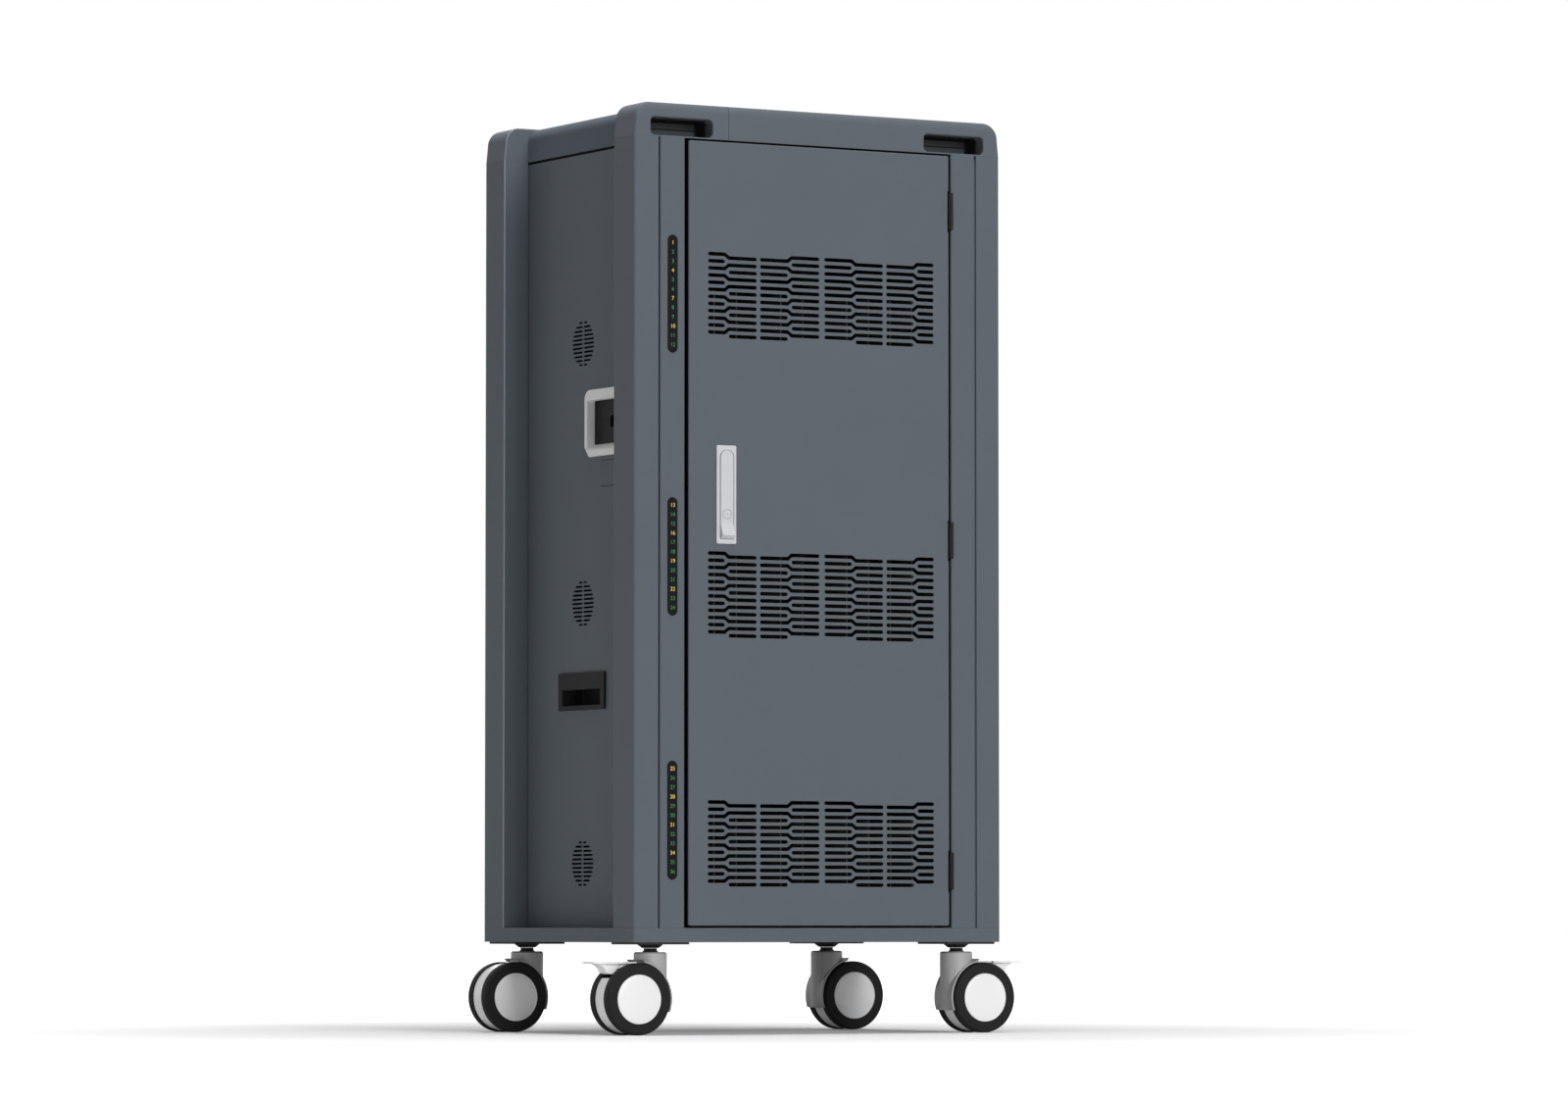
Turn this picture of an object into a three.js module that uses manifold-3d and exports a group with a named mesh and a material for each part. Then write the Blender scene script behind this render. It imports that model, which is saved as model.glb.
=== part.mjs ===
// Laptop charging cart: a steel cabinet with thirty-six bays, one vented door and four twin-wheel casters.
// Millimetres, +Z up. The door faces -Y and the origin is on the floor under the middle of the cart.

import * as THREE from 'three';
import { mergeGeometries, mergeVertices } from 'three/addons/utils/BufferGeometryUtils.js';
import Module from 'manifold-3d';

const wasm = await Module();
wasm.setup();

// Cabinet
const CABINET_WIDTH = 596;
const CABINET_DEPTH = 450;
const PLINTH_HEIGHT = 20;
const TIER_PITCH = 367;
const TIER_COUNT = 3;
const HEAD_ROOM = 2;
const HEADER_HEIGHT = 48;
const SHEET = 1.5;
const FIT = 0.3;
const MERGE = 1;

// Base pan
const PAN_WALL = 3;
const PAN_PAD = 96;

// Corner posts and front stiles
const POST_WIDTH = 39;
const POST_DEPTH = 60;
const POST_WALL = 2.5;
const POST_CORNER = 4;
const SEAM = 2.5;
const SEAM_DEPTH = 3;
const STILE_WIDTH = 39.5;
const STILE_DEPTH = 30;

// Headers and roof
const HEADER_TAPER = 2.5;
const HEADER_TAPER_HEIGHT = 25;
const HEADER_CORNER = 22;
const HEADER_EDGE = 6;
const HEADER_INNER_EDGE = 3;
const HEADER_JOINT_X = -147;
const HEADER_JOINT_GAP = 0.6;
const GRIP_WIDTH = 99;
const GRIP_HEIGHT = 25.4;
const GRIP_END = 26.5;
const GRIP_FOOT = 2;
const GRIP_DEPTH = 48;
const GRIP_CORNER = 6.5;
const ROOF_SHOULDER = 18;
const ROOF_DROP = 1;
const ROOF_SKIRT_DROP = 1;
const PANEL_HEAD_GAP = 4.8;

// Door
const DOOR_SIDE_GAP = 5;
const DOOR_END_GAP = 3;
const DOOR_PROUD = 2.4;
const DOOR_THICKNESS = 16;
const DOOR_CORNER = 2;

// Door vents: rows of slots that step half a pitch between neighbouring columns
const VENT_TOPS = [964.8, 545.3, 197.8];
const VENT_CENTRE_X = 2.5;
const VENT_ROWS = 12;
const VENT_PITCH = 10;
const VENT_SLOT = 4.9;
const VENT_RUN = 45;
const VENT_JOG = 6.4;
const VENT_MIDDLE_RIB = 8;
const VENT_RIB = 5.2;
const VENT_OUTER_RUN = 27;

// Hinges
const HINGE_HEIGHTS = [100.5, 570.5, 1040.8];
const HINGE_LENGTH = 52.6;
const HINGE_RADIUS = 3.6;
const HINGE_PROUD = 1;
const HINGE_PIN = 1.6;
const HINGE_LEAF = 1.4;
const HINGE_LEAF_DEPTH = 17;
const HINGE_NOTCH = 2.2;

// Lock with a swing handle
const LOCK_X = -152.9;
const LOCK_MIDDLE = 625;
const LOCK_PLATE_WIDTH = 31.5;
const LOCK_PLATE_HEIGHT = 138;
const LOCK_PLATE_THICKNESS = 2.4;
const LOCK_PLATE_CORNER = 2.5;
const LOCK_DISC_THICKNESS = 1.2;
const LOCK_HANDLE_WIDTH = 20.5;
const LOCK_HANDLE_HEIGHT = 124;
const LOCK_HANDLE_THICKNESS = 2.8;
const LOCK_LIP_HEIGHT = 21.5;
const LOCK_LIP_EDGE = 4.7;
const LOCK_LIP_RAISE = 4.6;
const LOCK_SHAFT = 5;
const LOCK_SHAFT_LENGTH = 30;
const LOCK_CAM_REACH = 24;
const LOCK_CAM_THICKNESS = 3;
const LOCK_CYLINDER = 6.6;
const LOCK_CYLINDER_ABOVE_FOOT = 34.5;
const LOCK_CYLINDER_DEPTH = 1.6;
const LOCK_CYLINDER_PROUD = 0.4;
const KEYHOLE_WIDTH = 1;
const KEYHOLE_HEIGHT = 5.6;
const KEYHOLE_DEPTH = 0.8;

// Indicator strips
const STRIP_X = -236.8;
const STRIP_WIDTH = 15.7;
const STRIP_LENGTH = 165;
const STRIP_ABOVE_SHELF = 149.5;
const STRIP_DEPTH = 9;
const STRIP_PROUD = 0.8;

// Side panels
const SIDE_VENT_DIAMETER = 64.6;
const SIDE_VENT_Y = -2.4;
const SIDE_VENT_HEIGHTS = [110.8, 479, 848.2];
const SIDE_VENT_ROWS = 11;
const SIDE_VENT_PITCH = 6;
const SIDE_VENT_SLOT = 2.9;
const SIDE_VENT_RIB = 3.7;

// Lifting handles
const LIFT_WIDTH = 137;
const LIFT_HEIGHT = 53;
const LIFT_Y = -3.5;
const LIFT_MIDDLE = 354.5;
const LIFT_PROUD = 3.5;
const LIFT_CORNER = 5;
const LIFT_WALL = 3;
const LIFT_DEPTH = 34;
const LIFT_MOUTH_WIDTH = 113;
const LIFT_MOUTH_HEIGHT = 22.4;
const LIFT_MOUTH_FOOT = 3.6;
const LIFT_RIM = 7;
const LIFT_COLLAR = 30;

// Silver bezel with the power inlet
const BEZEL_REAR_Y = -13.2;
const BEZEL_WIDTH = 130;
const BEZEL_FOOT = 685.6;
const BEZEL_HEIGHT = 95;
const BEZEL_PROUD = 4;
const BEZEL_CORNER = 14;
const BEZEL_CHAMFER_WIDTH = 12;
const BEZEL_CHAMFER_HEIGHT = 14;
const BEZEL_SIDE = 7.6;
const BEZEL_HEAD = 15;
const BEZEL_SILL = 9;
const BEZEL_SILL_RISE = 9;
const BEZEL_DEPTH = 13;
const BEZEL_LEDGE = 4;
const BEZEL_COLLAR_FOOT = 11;
const INLET_DEPTH = 20;
const INLET_SOCKET_WIDTH = 28;
const INLET_SOCKET_HEIGHT = 20;
const INLET_SOCKET_DEPTH = 14;
const INLET_SOCKET_CORNER = 5;

// Shelves, divider racks, rear panel and power strip
const SHELF_FRONT = 35;
const SHELF_REAR = 55;
const SHELF_LIP = 12;
const BAYS = 12;
const BAY_PITCH = 36;
const DIVIDER = 2;
const DIVIDER_HEIGHT = 160;
const DIVIDER_INSET = 12;
const RACK_DEPTH = 300;
const REAR_RECESS = 3;
const REAR_SLOT_COUNT = 4;
const REAR_SLOT_PITCH = 14;
const REAR_SLOT_WIDTH = 150;
const REAR_SLOT_HEIGHT = 5;
const POWER_WIDTH = 60;
const POWER_DEPTH = 36;
const POWER_END = 60;
const SOCKET_COUNT = 12;
const SOCKET_SIZE = 32;
const SOCKET_DEPTH = 4;

// Casters
const CASTER_HEIGHT = 129;
const CASTER_SIDE_INSET = 8;
const CASTER_END_INSET = 0;
const CASTER_PLATE = 82;
const CASTER_PLATE_THICKNESS = 3;
const CASTER_TRAIL = 32;
const RACE_TOP_RADIUS = 17.5;
const RACE_FOOT_RADIUS = 12.5;
const RACE_HEIGHT = 5;
const NECK_RADIUS = 9.4;
const NECK_HEIGHT = 5.6;
const KINGPIN_RADIUS = 5;
const KINGPIN_RISE = 4;
const COLUMN_RADIUS = 23.2;
const WHEEL_RADIUS = 50;
const TYRE_WIDTH = 14.2;
const TYRE_ROUND = 4;
const TYRE_BORE = 36;
const HUB_DOME = 1.4;
const HUB_CROWN_RADIUS = 21.4;
const AXLE_RADIUS = 6;
const WEB_WIDTH = 26;
const WEB_RADIUS = 48;
const FENDER_RADIUS = 54;
const FENDER_WALL = 2.4;
const FENDER_WIDTH = 49;
const FENDER_OUTBOARD = 17;
const FENDER_BELOW_AXLE = 18;
const WHEEL_CLEARANCE = 0.6;

// Brake pedals on the front casters
const PEDAL_REACH = 98.4;
const PEDAL_WIDTH = 33.6;
const PEDAL_TOP = 102;
const PEDAL_TIP = 2.8;
const PEDAL_ROOT = 4;
const PEDAL_RIB_WIDTH = 22;
const PEDAL_RIB_DROP = 17;
const PEDAL_RIB_X = 71;
const PEDAL_PIVOT_X = 40;
const PEDAL_PIVOT_Z = 95;
const PEDAL_TONGUE = 12;
const PEDAL_TONGUE_HEIGHT = 8;
const PEDAL_CLEARANCE = 0.8;
const PEDAL_START_GAP = 2.5;

// Facets: sides of a full round, and steps of a quarter one
const PIN_SIDES = 12;
const SMALL_SIDES = 16;
const ROUND_SIDES = 20;
const DISC_SIDES = 24;
const WHEEL_SIDES = 24;
const FORK_SIDES = 28;
const ROUND_STEPS = 3;

// Derived levels and planes
const HALF_WIDTH = CABINET_WIDTH / 2;
const HALF_DEPTH = CABINET_DEPTH / 2;
const FRONT = -HALF_DEPTH;
const BASE = CASTER_HEIGHT;
const FLOOR = BASE + PLINTH_HEIGHT;
const OPENING_TOP = FLOOR + TIER_COUNT * TIER_PITCH + HEAD_ROOM;
const TOP = OPENING_TOP + HEADER_HEIGHT;
const PANEL_X = HALF_WIDTH - POST_WIDTH;
const PANEL_INNER_X = PANEL_X - SHEET;
const STILE_OUTER_X = PANEL_X - SEAM;
const OPENING_X = STILE_OUTER_X - STILE_WIDTH;
const POST_INNER_Y = HALF_DEPTH - POST_DEPTH;
const PANEL_FRONT_Y = FRONT + SEAM_DEPTH;
const DOOR_X = OPENING_X - DOOR_SIDE_GAP;
const DOOR_FRONT = FRONT - DOOR_PROUD;
const DOOR_FOOT = FLOOR + DOOR_END_GAP;
const DOOR_TOP = OPENING_TOP - DOOR_END_GAP;
const HINGE_X = OPENING_X - DOOR_SIDE_GAP / 2;
const HINGE_Y = DOOR_FRONT - HINGE_PROUD;
const LOCK_FRONT = DOOR_FRONT - LOCK_PLATE_THICKNESS;
const HANDLE_BACK = LOCK_FRONT - FIT;
const HANDLE_FRONT = HANDLE_BACK - LOCK_HANDLE_THICKNESS;
const HANDLE_TOP = BASE + LOCK_MIDDLE + LOCK_HANDLE_HEIGHT / 2;
const SPINDLE_Z = HANDLE_TOP - LOCK_HANDLE_WIDTH / 2;
const REAR_PANEL_BACK = HALF_DEPTH - REAR_RECESS;
const FRONT_REACH = -(HANDLE_FRONT - LOCK_LIP_RAISE);
const CASTER_X = HALF_WIDTH - CASTER_SIDE_INSET - CASTER_PLATE / 2;
const CASTER_Y = HALF_DEPTH - CASTER_END_INSET - CASTER_PLATE / 2;
const BEZEL_FRONT_Y = BEZEL_REAR_Y - BEZEL_WIDTH;
const BEZEL_Z = BASE + BEZEL_FOOT;
const BEZEL_OUTER_X = -PANEL_X - BEZEL_PROUD;
const INLET_X = BEZEL_OUTER_X + BEZEL_DEPTH + FIT;
const tierFloor = (tier) => FLOOR + tier * TIER_PITCH;

// Finishes
function finish(color, roughness, metalness) {
  return new THREE.MeshStandardMaterial({ color, roughness, metalness });
}

const SLATE_PAINT = finish(0x5c646b, 0.45, 0.1);
const BLACK_PLASTIC = finish(0x1c1c1d, 0.5, 0);
const SILVER_PLASTIC = finish(0xb4b7ba, 0.4, 0.3);
const SATIN_METAL = finish(0xb9bcc0, 0.3, 0.85);
const STEEL = finish(0x8d9196, 0.4, 0.9);
const RUBBER = finish(0x262626, 0.8, 0);
const GREY_SHEET = finish(0x3a3e42, 0.5, 0.2);

const cart = new THREE.Group();

function piece(name, geometry, material, parent = cart) {
  const mesh = new THREE.Mesh(geometry, material);
  mesh.name = name;
  parent.add(mesh);
  return mesh;
}

// Solids and booleans
const WELD = 1e-4;

function toSolid(geometry) {
  const bare = geometry.clone();
  bare.deleteAttribute('normal');
  bare.deleteAttribute('uv');
  const merged = mergeVertices(bare, WELD);
  const vertProperties = new Float32Array(merged.attributes.position.array);
  const triVerts = new Uint32Array(merged.index.array);
  return new wasm.Manifold(new wasm.Mesh({ numProp: 3, vertProperties, triVerts }));
}

function toGeometry(solid) {
  const mesh = solid.getMesh();
  const geometry = new THREE.BufferGeometry();
  geometry.setAttribute('position', new THREE.BufferAttribute(mesh.vertProperties, 3));
  geometry.setIndex(new THREE.BufferAttribute(mesh.triVerts, 1));
  geometry.computeVertexNormals();
  return geometry;
}

const join = (...shapes) => toGeometry(shapes.map(toSolid).reduce((sum, next) => sum.add(next)));
const overlap = (first, second) => toGeometry(toSolid(first).intersect(toSolid(second)));

function cut(shape, ...tools) {
  return toGeometry(tools.map(toSolid).reduce((rest, tool) => rest.subtract(tool), toSolid(shape)));
}

// Many separate holes as one tool
const bundle = (holes) => mergeGeometries(holes);

// Basic shapes, each given by the planes that bound it
function box(x0, x1, y0, y1, z0, z1) {
  const geometry = new THREE.BoxGeometry(x1 - x0, y1 - y0, z1 - z0);
  return geometry.translate((x0 + x1) / 2, (y0 + y1) / 2, (z0 + z1) / 2);
}

const X_AXIS = new THREE.Vector3(1, 0, 0);
const Y_AXIS = new THREE.Vector3(0, 1, 0);
const Z_AXIS = new THREE.Vector3(0, 0, 1);

function extrude(shape, depth) {
  return new THREE.ExtrudeGeometry(shape, { depth, bevelEnabled: false, curveSegments: ROUND_STEPS });
}

// A plan outline in X and Y, raised from z0 to z1
const upright = (shape, z0, z1) => extrude(shape, z1 - z0).translate(0, 0, z0);

// An outline in X and Z, carried along Y
function alongY(shape, y0, y1) {
  const turn = new THREE.Matrix4().makeBasis(X_AXIS, Z_AXIS, Y_AXIS.clone().negate());
  return extrude(shape, y1 - y0).applyMatrix4(turn).translate(0, y1, 0);
}

// An outline in Y and Z, carried along X
function alongX(shape, x0, x1) {
  const turn = new THREE.Matrix4().makeBasis(Y_AXIS, Z_AXIS, X_AXIS);
  return extrude(shape, x1 - x0).applyMatrix4(turn).translate(x0, 0, 0);
}

// A rectangle with one radius for each corner: left foot, right foot, right head, left head
function roundedRectangle(u0, u1, v0, v1, radius) {
  const [a, b, c, d] = Array.isArray(radius) ? radius : [radius, radius, radius, radius];
  const shape = new THREE.Shape();
  const corner = (u, v, r, start) => {
    if (r > 0) shape.absarc(u, v, r, start, start + Math.PI / 2, false);
    else shape.lineTo(u, v);
  };
  shape.moveTo(u0 + a, v0);
  corner(u1 - b, v0 + b, b, -Math.PI / 2);
  corner(u1 - c, v1 - c, c, 0);
  corner(u0 + d, v1 - d, d, Math.PI / 2);
  corner(u0 + a, v0 + a, a, Math.PI);
  return shape;
}

function polygon(points, Kind = THREE.Shape) {
  return new Kind(points.map(([u, v]) => new THREE.Vector2(u, v)));
}

const rectangle = (u0, u1, v0, v1, Kind) => polygon([[u0, v0], [u1, v0], [u1, v1], [u0, v1]], Kind);

// The radius of a full round end, short enough that its two arcs don't share a point
const fullRound = (width) => width / 2 - 10 * WELD;

const stadium = (u, v, width, height) => roundedRectangle(
  u - width / 2, u + width / 2, v - height / 2, v + height / 2, fullRound(width));

// A round bar between two heights
function postRound(radius, x, y, z0, z1, sides = ROUND_SIDES, topRadius = radius) {
  const bar = new THREE.CylinderGeometry(topRadius, radius, z1 - z0, sides);
  return bar.rotateX(Math.PI / 2).translate(x, y, (z0 + z1) / 2);
}

// A round bar along Y, with a flat side down
function crossRound(radius, x, z, y0, y1, sides = ROUND_SIDES) {
  const bar = new THREE.CylinderGeometry(radius, radius, y1 - y0, sides, 1, false, Math.PI / sides);
  return bar.translate(x, (y0 + y1) / 2, z);
}

// A body of revolution about an axis along Y, from radius and Y pairs, with a flat side down
function turned(profile, x, z, sides) {
  const points = profile.map(([radius, y]) => new THREE.Vector2(radius, y));
  return new THREE.LatheGeometry(points, sides, Math.PI / sides).translate(x, 0, z);
}

// Base pan, open below, with a pad above each caster
function basePan() {
  const plan = roundedRectangle(-HALF_WIDTH, HALF_WIDTH, -HALF_DEPTH, HALF_DEPTH, POST_CORNER);
  const wellX = HALF_WIDTH - PAN_WALL;
  const wellY = HALF_DEPTH - PAN_WALL;
  const head = FLOOR - PAN_WALL;
  const below = BASE - PAN_WALL;
  const wide = box(-wellX, wellX, PAN_PAD - wellY, wellY - PAN_PAD, below, head);
  const deep = box(PAN_PAD - wellX, wellX - PAN_PAD, -wellY, wellY, below, head);
  return cut(upright(plan, BASE, FLOOR), wide, deep);
}

// Hollow corner post; side and end are -1 or 1
function cornerPost(side, end) {
  const x = [side * PANEL_X, side * HALF_WIDTH].sort((a, b) => a - b);
  const y = [end * POST_INNER_Y, end * HALF_DEPTH].sort((a, b) => a - b);
  const corners = [[-1, -1], [1, -1], [1, 1], [-1, 1]];
  const rounds = corners.map(([s, e]) => (s === side && e === end ? POST_CORNER : 0));
  const plan = roundedRectangle(x[0], x[1], y[0], y[1], rounds);
  const well = [x[0] + POST_WALL, x[1] - POST_WALL, y[0] + POST_WALL, y[1] - POST_WALL];
  plan.holes.push(rectangle(...well, THREE.Path));
  return upright(plan, FLOOR, OPENING_TOP);
}

// Folded stile, open behind; the left one has windows for the indicator strips
function frontStile(side, windows) {
  const outer = STILE_OUTER_X;
  const rear = FRONT + STILE_DEPTH;
  const fold = FRONT + SHEET;
  const plan = polygon([
    [OPENING_X, FRONT], [outer, FRONT], [outer, rear], [outer - SHEET, rear],
    [outer - SHEET, fold], [OPENING_X + SHEET, fold], [OPENING_X + SHEET, rear], [OPENING_X, rear],
  ].map(([x, y]) => [side * x, y]));
  const stile = upright(plan, FLOOR, OPENING_TOP);
  return windows.length ? cut(stile, ...windows) : stile;
}

const stripMiddle = (tier) => tierFloor(tier) + STRIP_ABOVE_SHELF;

function stripWindow(tier) {
  const outline = stadium(STRIP_X, stripMiddle(tier), STRIP_WIDTH + 2 * FIT, STRIP_LENGTH + 2 * FIT);
  return alongY(outline, FRONT - SHEET, FRONT + 2 * SHEET);
}

function indicatorStrip(tier) {
  const outline = stadium(STRIP_X, stripMiddle(tier), STRIP_WIDTH, STRIP_LENGTH);
  return alongY(outline, FRONT - STRIP_PROUD, FRONT - STRIP_PROUD + STRIP_DEPTH);
}

// Header bar with a tapered, rounded front outline and rounded long edges; end is -1 in front, 1 behind
function headerBar(end) {
  const topX = HALF_WIDTH - HEADER_TAPER;
  const outline = new THREE.Shape();
  outline.moveTo(-HALF_WIDTH, OPENING_TOP);
  outline.lineTo(HALF_WIDTH, OPENING_TOP);
  outline.lineTo(topX, OPENING_TOP + HEADER_TAPER_HEIGHT);
  outline.absarc(topX - HEADER_CORNER, TOP - HEADER_CORNER, HEADER_CORNER, 0, Math.PI / 2, false);
  outline.absarc(HEADER_CORNER - topX, TOP - HEADER_CORNER, HEADER_CORNER, Math.PI / 2, Math.PI, false);
  outline.lineTo(-topX, OPENING_TOP + HEADER_TAPER_HEIGHT);
  const y = [end * POST_INNER_Y, end * HALF_DEPTH].sort((a, b) => a - b);
  const edges = end < 0 ? [HEADER_INNER_EDGE, HEADER_EDGE] : [HEADER_EDGE, HEADER_INNER_EDGE];
  const section = roundedRectangle(y[0], y[1], OPENING_TOP, TOP, [0, 0, ...edges]);
  return overlap(alongY(outline, y[0], y[1]), alongX(section, -HALF_WIDTH, HALF_WIDTH));
}

function gripPocket(side) {
  const far = HALF_WIDTH - GRIP_END;
  const x = [side * (far - GRIP_WIDTH), side * far].sort((a, b) => a - b);
  const foot = OPENING_TOP + GRIP_FOOT;
  const mouth = roundedRectangle(x[0], x[1], foot, foot + GRIP_HEIGHT, GRIP_CORNER);
  return alongY(mouth, FRONT - SHEET, FRONT + GRIP_DEPTH);
}

function headerLength(x0, x1, side) {
  const keep = box(x0, x1, FRONT - SHEET, -POST_INNER_Y + SHEET, OPENING_TOP - SHEET, TOP + SHEET);
  return cut(overlap(headerBar(-1), keep), gripPocket(side));
}

// Roof between the headers: a sheet bent down at rounded shoulders
function roofPanel() {
  const foot = OPENING_TOP - ROOF_SKIRT_DROP;
  const top = TOP - ROOF_DROP;
  const inner = PANEL_X - SHEET;
  const outside = roundedRectangle(-PANEL_X, PANEL_X, foot, top, [0, 0, ROOF_SHOULDER, ROOF_SHOULDER]);
  const bend = ROOF_SHOULDER - SHEET;
  const inside = roundedRectangle(-inner, inner, foot - SHEET, top - SHEET, [0, 0, bend, bend]);
  const reach = POST_INNER_Y - FIT;
  return cut(alongY(outside, -reach, reach), alongY(inside, -reach - SHEET, reach + SHEET));
}

// Door vents: legs of slots from the middle outwards, joined in pairs by slanting steps
function ventSlots(topZ) {
  const firstRow = BASE + topZ - VENT_SLOT / 2;
  const half = VENT_SLOT / 2;
  const slots = [];
  const innerLevel = (row) => firstRow - row * VENT_PITCH;
  const lowLevel = (row) => innerLevel(row) - VENT_PITCH / 2;
  const group = (mirror, u0, u1, u2, u3, levels) => {
    const add = (points) => slots.push(polygon(points.map(([u, z]) => [VENT_CENTRE_X + mirror * u, z])));
    const straight = (a, b, z) => add([[a, z - half], [b, z - half], [b, z + half], [a, z + half]]);
    const stepped = (z0, z1) => add([
      [u0, z0 - half], [u1, z0 - half], [u2, z1 - half], [u3, z1 - half],
      [u3, z1 + half], [u2, z1 + half], [u1, z0 + half], [u0, z0 + half],
    ]);
    for (let row = 0; row < VENT_ROWS; row += 3) {
      const upper = levels.map((level) => level(row));
      const lower = levels.map((level, index) => level(row + (index === levels.indexOf(innerLevel) ? 2 : 1)));
      stepped(...upper);
      stepped(...lower);
      const lone = levels.map((level, index) => level(row + (index === levels.indexOf(innerLevel) ? 1 : 2)));
      straight(u0, u1, lone[0]);
      straight(u2, u3, lone[1]);
    }
  };
  const innerStart = VENT_MIDDLE_RIB / 2;
  const innerEnd = innerStart + 2 * VENT_RUN + VENT_JOG;
  const outerStart = innerEnd + VENT_RIB;
  const outerBend = outerStart + VENT_RUN;
  for (const mirror of [-1, 1]) {
    const bend = innerStart + VENT_RUN;
    group(mirror, innerStart, bend, bend + VENT_JOG, innerEnd, [innerLevel, lowLevel]);
    const outerFold = outerBend + VENT_JOG;
    group(mirror, outerStart, outerBend, outerFold, outerFold + VENT_OUTER_RUN, [lowLevel, innerLevel]);
  }
  return slots;
}

function frontDoor() {
  const rear = DOOR_FRONT + DOOR_THICKNESS;
  const face = roundedRectangle(-DOOR_X, DOOR_X, DOOR_FOOT, DOOR_TOP, DOOR_CORNER);
  const slab = alongY(face, DOOR_FRONT, rear);
  const through = (slot) => alongY(slot, DOOR_FRONT - SHEET, DOOR_FRONT + 2 * SHEET);
  const slots = VENT_TOPS.flatMap(ventSlots).map(through);
  const well = box(
    SHEET - DOOR_X, DOOR_X - SHEET, DOOR_FRONT + SHEET, rear + SHEET, DOOR_FOOT + SHEET, DOOR_TOP - SHEET);
  const notches = HINGE_HEIGHTS.map((height) => {
    const middle = BASE + height;
    const reach = HINGE_LENGTH / 2 + DOOR_END_GAP;
    return box(
      DOOR_X - HINGE_NOTCH, DOOR_X + SHEET, DOOR_FRONT - SHEET, DOOR_FRONT + HINGE_RADIUS + HINGE_PROUD,
      middle - reach, middle + reach);
  });
  const bore = crossRound(LOCK_SHAFT + SHEET, LOCK_X, SPINDLE_Z, DOOR_FRONT - SHEET, rear + SHEET);
  return cut(slab, well, ...notches, bore, bundle(slots));
}

// Hinge: the frame half carries the pin and the lower knuckle, the door half the upper one
function hingeFrameHalf(height) {
  const middle = BASE + height;
  const foot = middle - HINGE_LENGTH / 2;
  const knuckle = postRound(HINGE_RADIUS, HINGE_X, HINGE_Y, foot, middle, SMALL_SIDES);
  const pin = postRound(HINGE_PIN, HINGE_X, HINGE_Y, foot, middle + HINGE_LENGTH / 2 - FIT, PIN_SIDES);
  const leaf = box(
    OPENING_X - HINGE_LEAF, OPENING_X, HINGE_Y, HINGE_Y + HINGE_LEAF_DEPTH, foot, middle);
  return join(knuckle, pin, leaf);
}

function hingeDoorHalf(height) {
  const foot = BASE + height + FIT;
  const head = BASE + height + HINGE_LENGTH / 2;
  const knuckle = postRound(HINGE_RADIUS, HINGE_X, HINGE_Y, foot, head, SMALL_SIDES);
  const leaf = box(DOOR_X, DOOR_X + HINGE_LEAF, HINGE_Y, HINGE_Y + HINGE_LEAF_DEPTH, foot, head);
  const bore = postRound(HINGE_PIN + FIT, HINGE_X, HINGE_Y, foot - FIT, head + FIT, PIN_SIDES);
  return cut(join(knuckle, leaf), bore);
}

// Lock plate with a round seat for the spindle's disc
function lockPlate() {
  const middle = BASE + LOCK_MIDDLE;
  const outline = roundedRectangle(
    LOCK_X - LOCK_PLATE_WIDTH / 2, LOCK_X + LOCK_PLATE_WIDTH / 2,
    middle - LOCK_PLATE_HEIGHT / 2, middle + LOCK_PLATE_HEIGHT / 2, LOCK_PLATE_CORNER);
  const seatFloor = LOCK_FRONT + LOCK_DISC_THICKNESS + FIT;
  const seat = crossRound(
    LOCK_HANDLE_WIDTH / 2 + FIT, LOCK_X, SPINDLE_Z, LOCK_FRONT - SHEET, seatFloor, DISC_SIDES);
  const bore = crossRound(LOCK_SHAFT + FIT, LOCK_X, SPINDLE_Z, LOCK_FRONT, DOOR_FRONT + SHEET);
  return cut(alongY(outline, LOCK_FRONT, DOOR_FRONT), seat, bore);
}

// Spindle: disc under the handle, shaft through the door, and the two-armed cam behind it
function lockSpindle() {
  const shaftEnd = LOCK_FRONT + LOCK_SHAFT_LENGTH;
  const discBack = LOCK_FRONT + LOCK_DISC_THICKNESS;
  const disc = crossRound(LOCK_HANDLE_WIDTH / 2, LOCK_X, SPINDLE_Z, LOCK_FRONT, discBack, DISC_SIDES);
  const shaft = crossRound(LOCK_SHAFT, LOCK_X, SPINDLE_Z, LOCK_FRONT, shaftEnd);
  const cam = box(
    LOCK_X - LOCK_SHAFT, LOCK_X + LOCK_SHAFT, shaftEnd - LOCK_CAM_THICKNESS, shaftEnd,
    SPINDLE_Z - LOCK_CAM_REACH, SPINDLE_Z + LOCK_CAM_REACH);
  return join(disc, shaft, cam);
}

const cylinderZ = HANDLE_TOP - LOCK_HANDLE_HEIGHT + LOCK_CYLINDER_ABOVE_FOOT;

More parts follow.
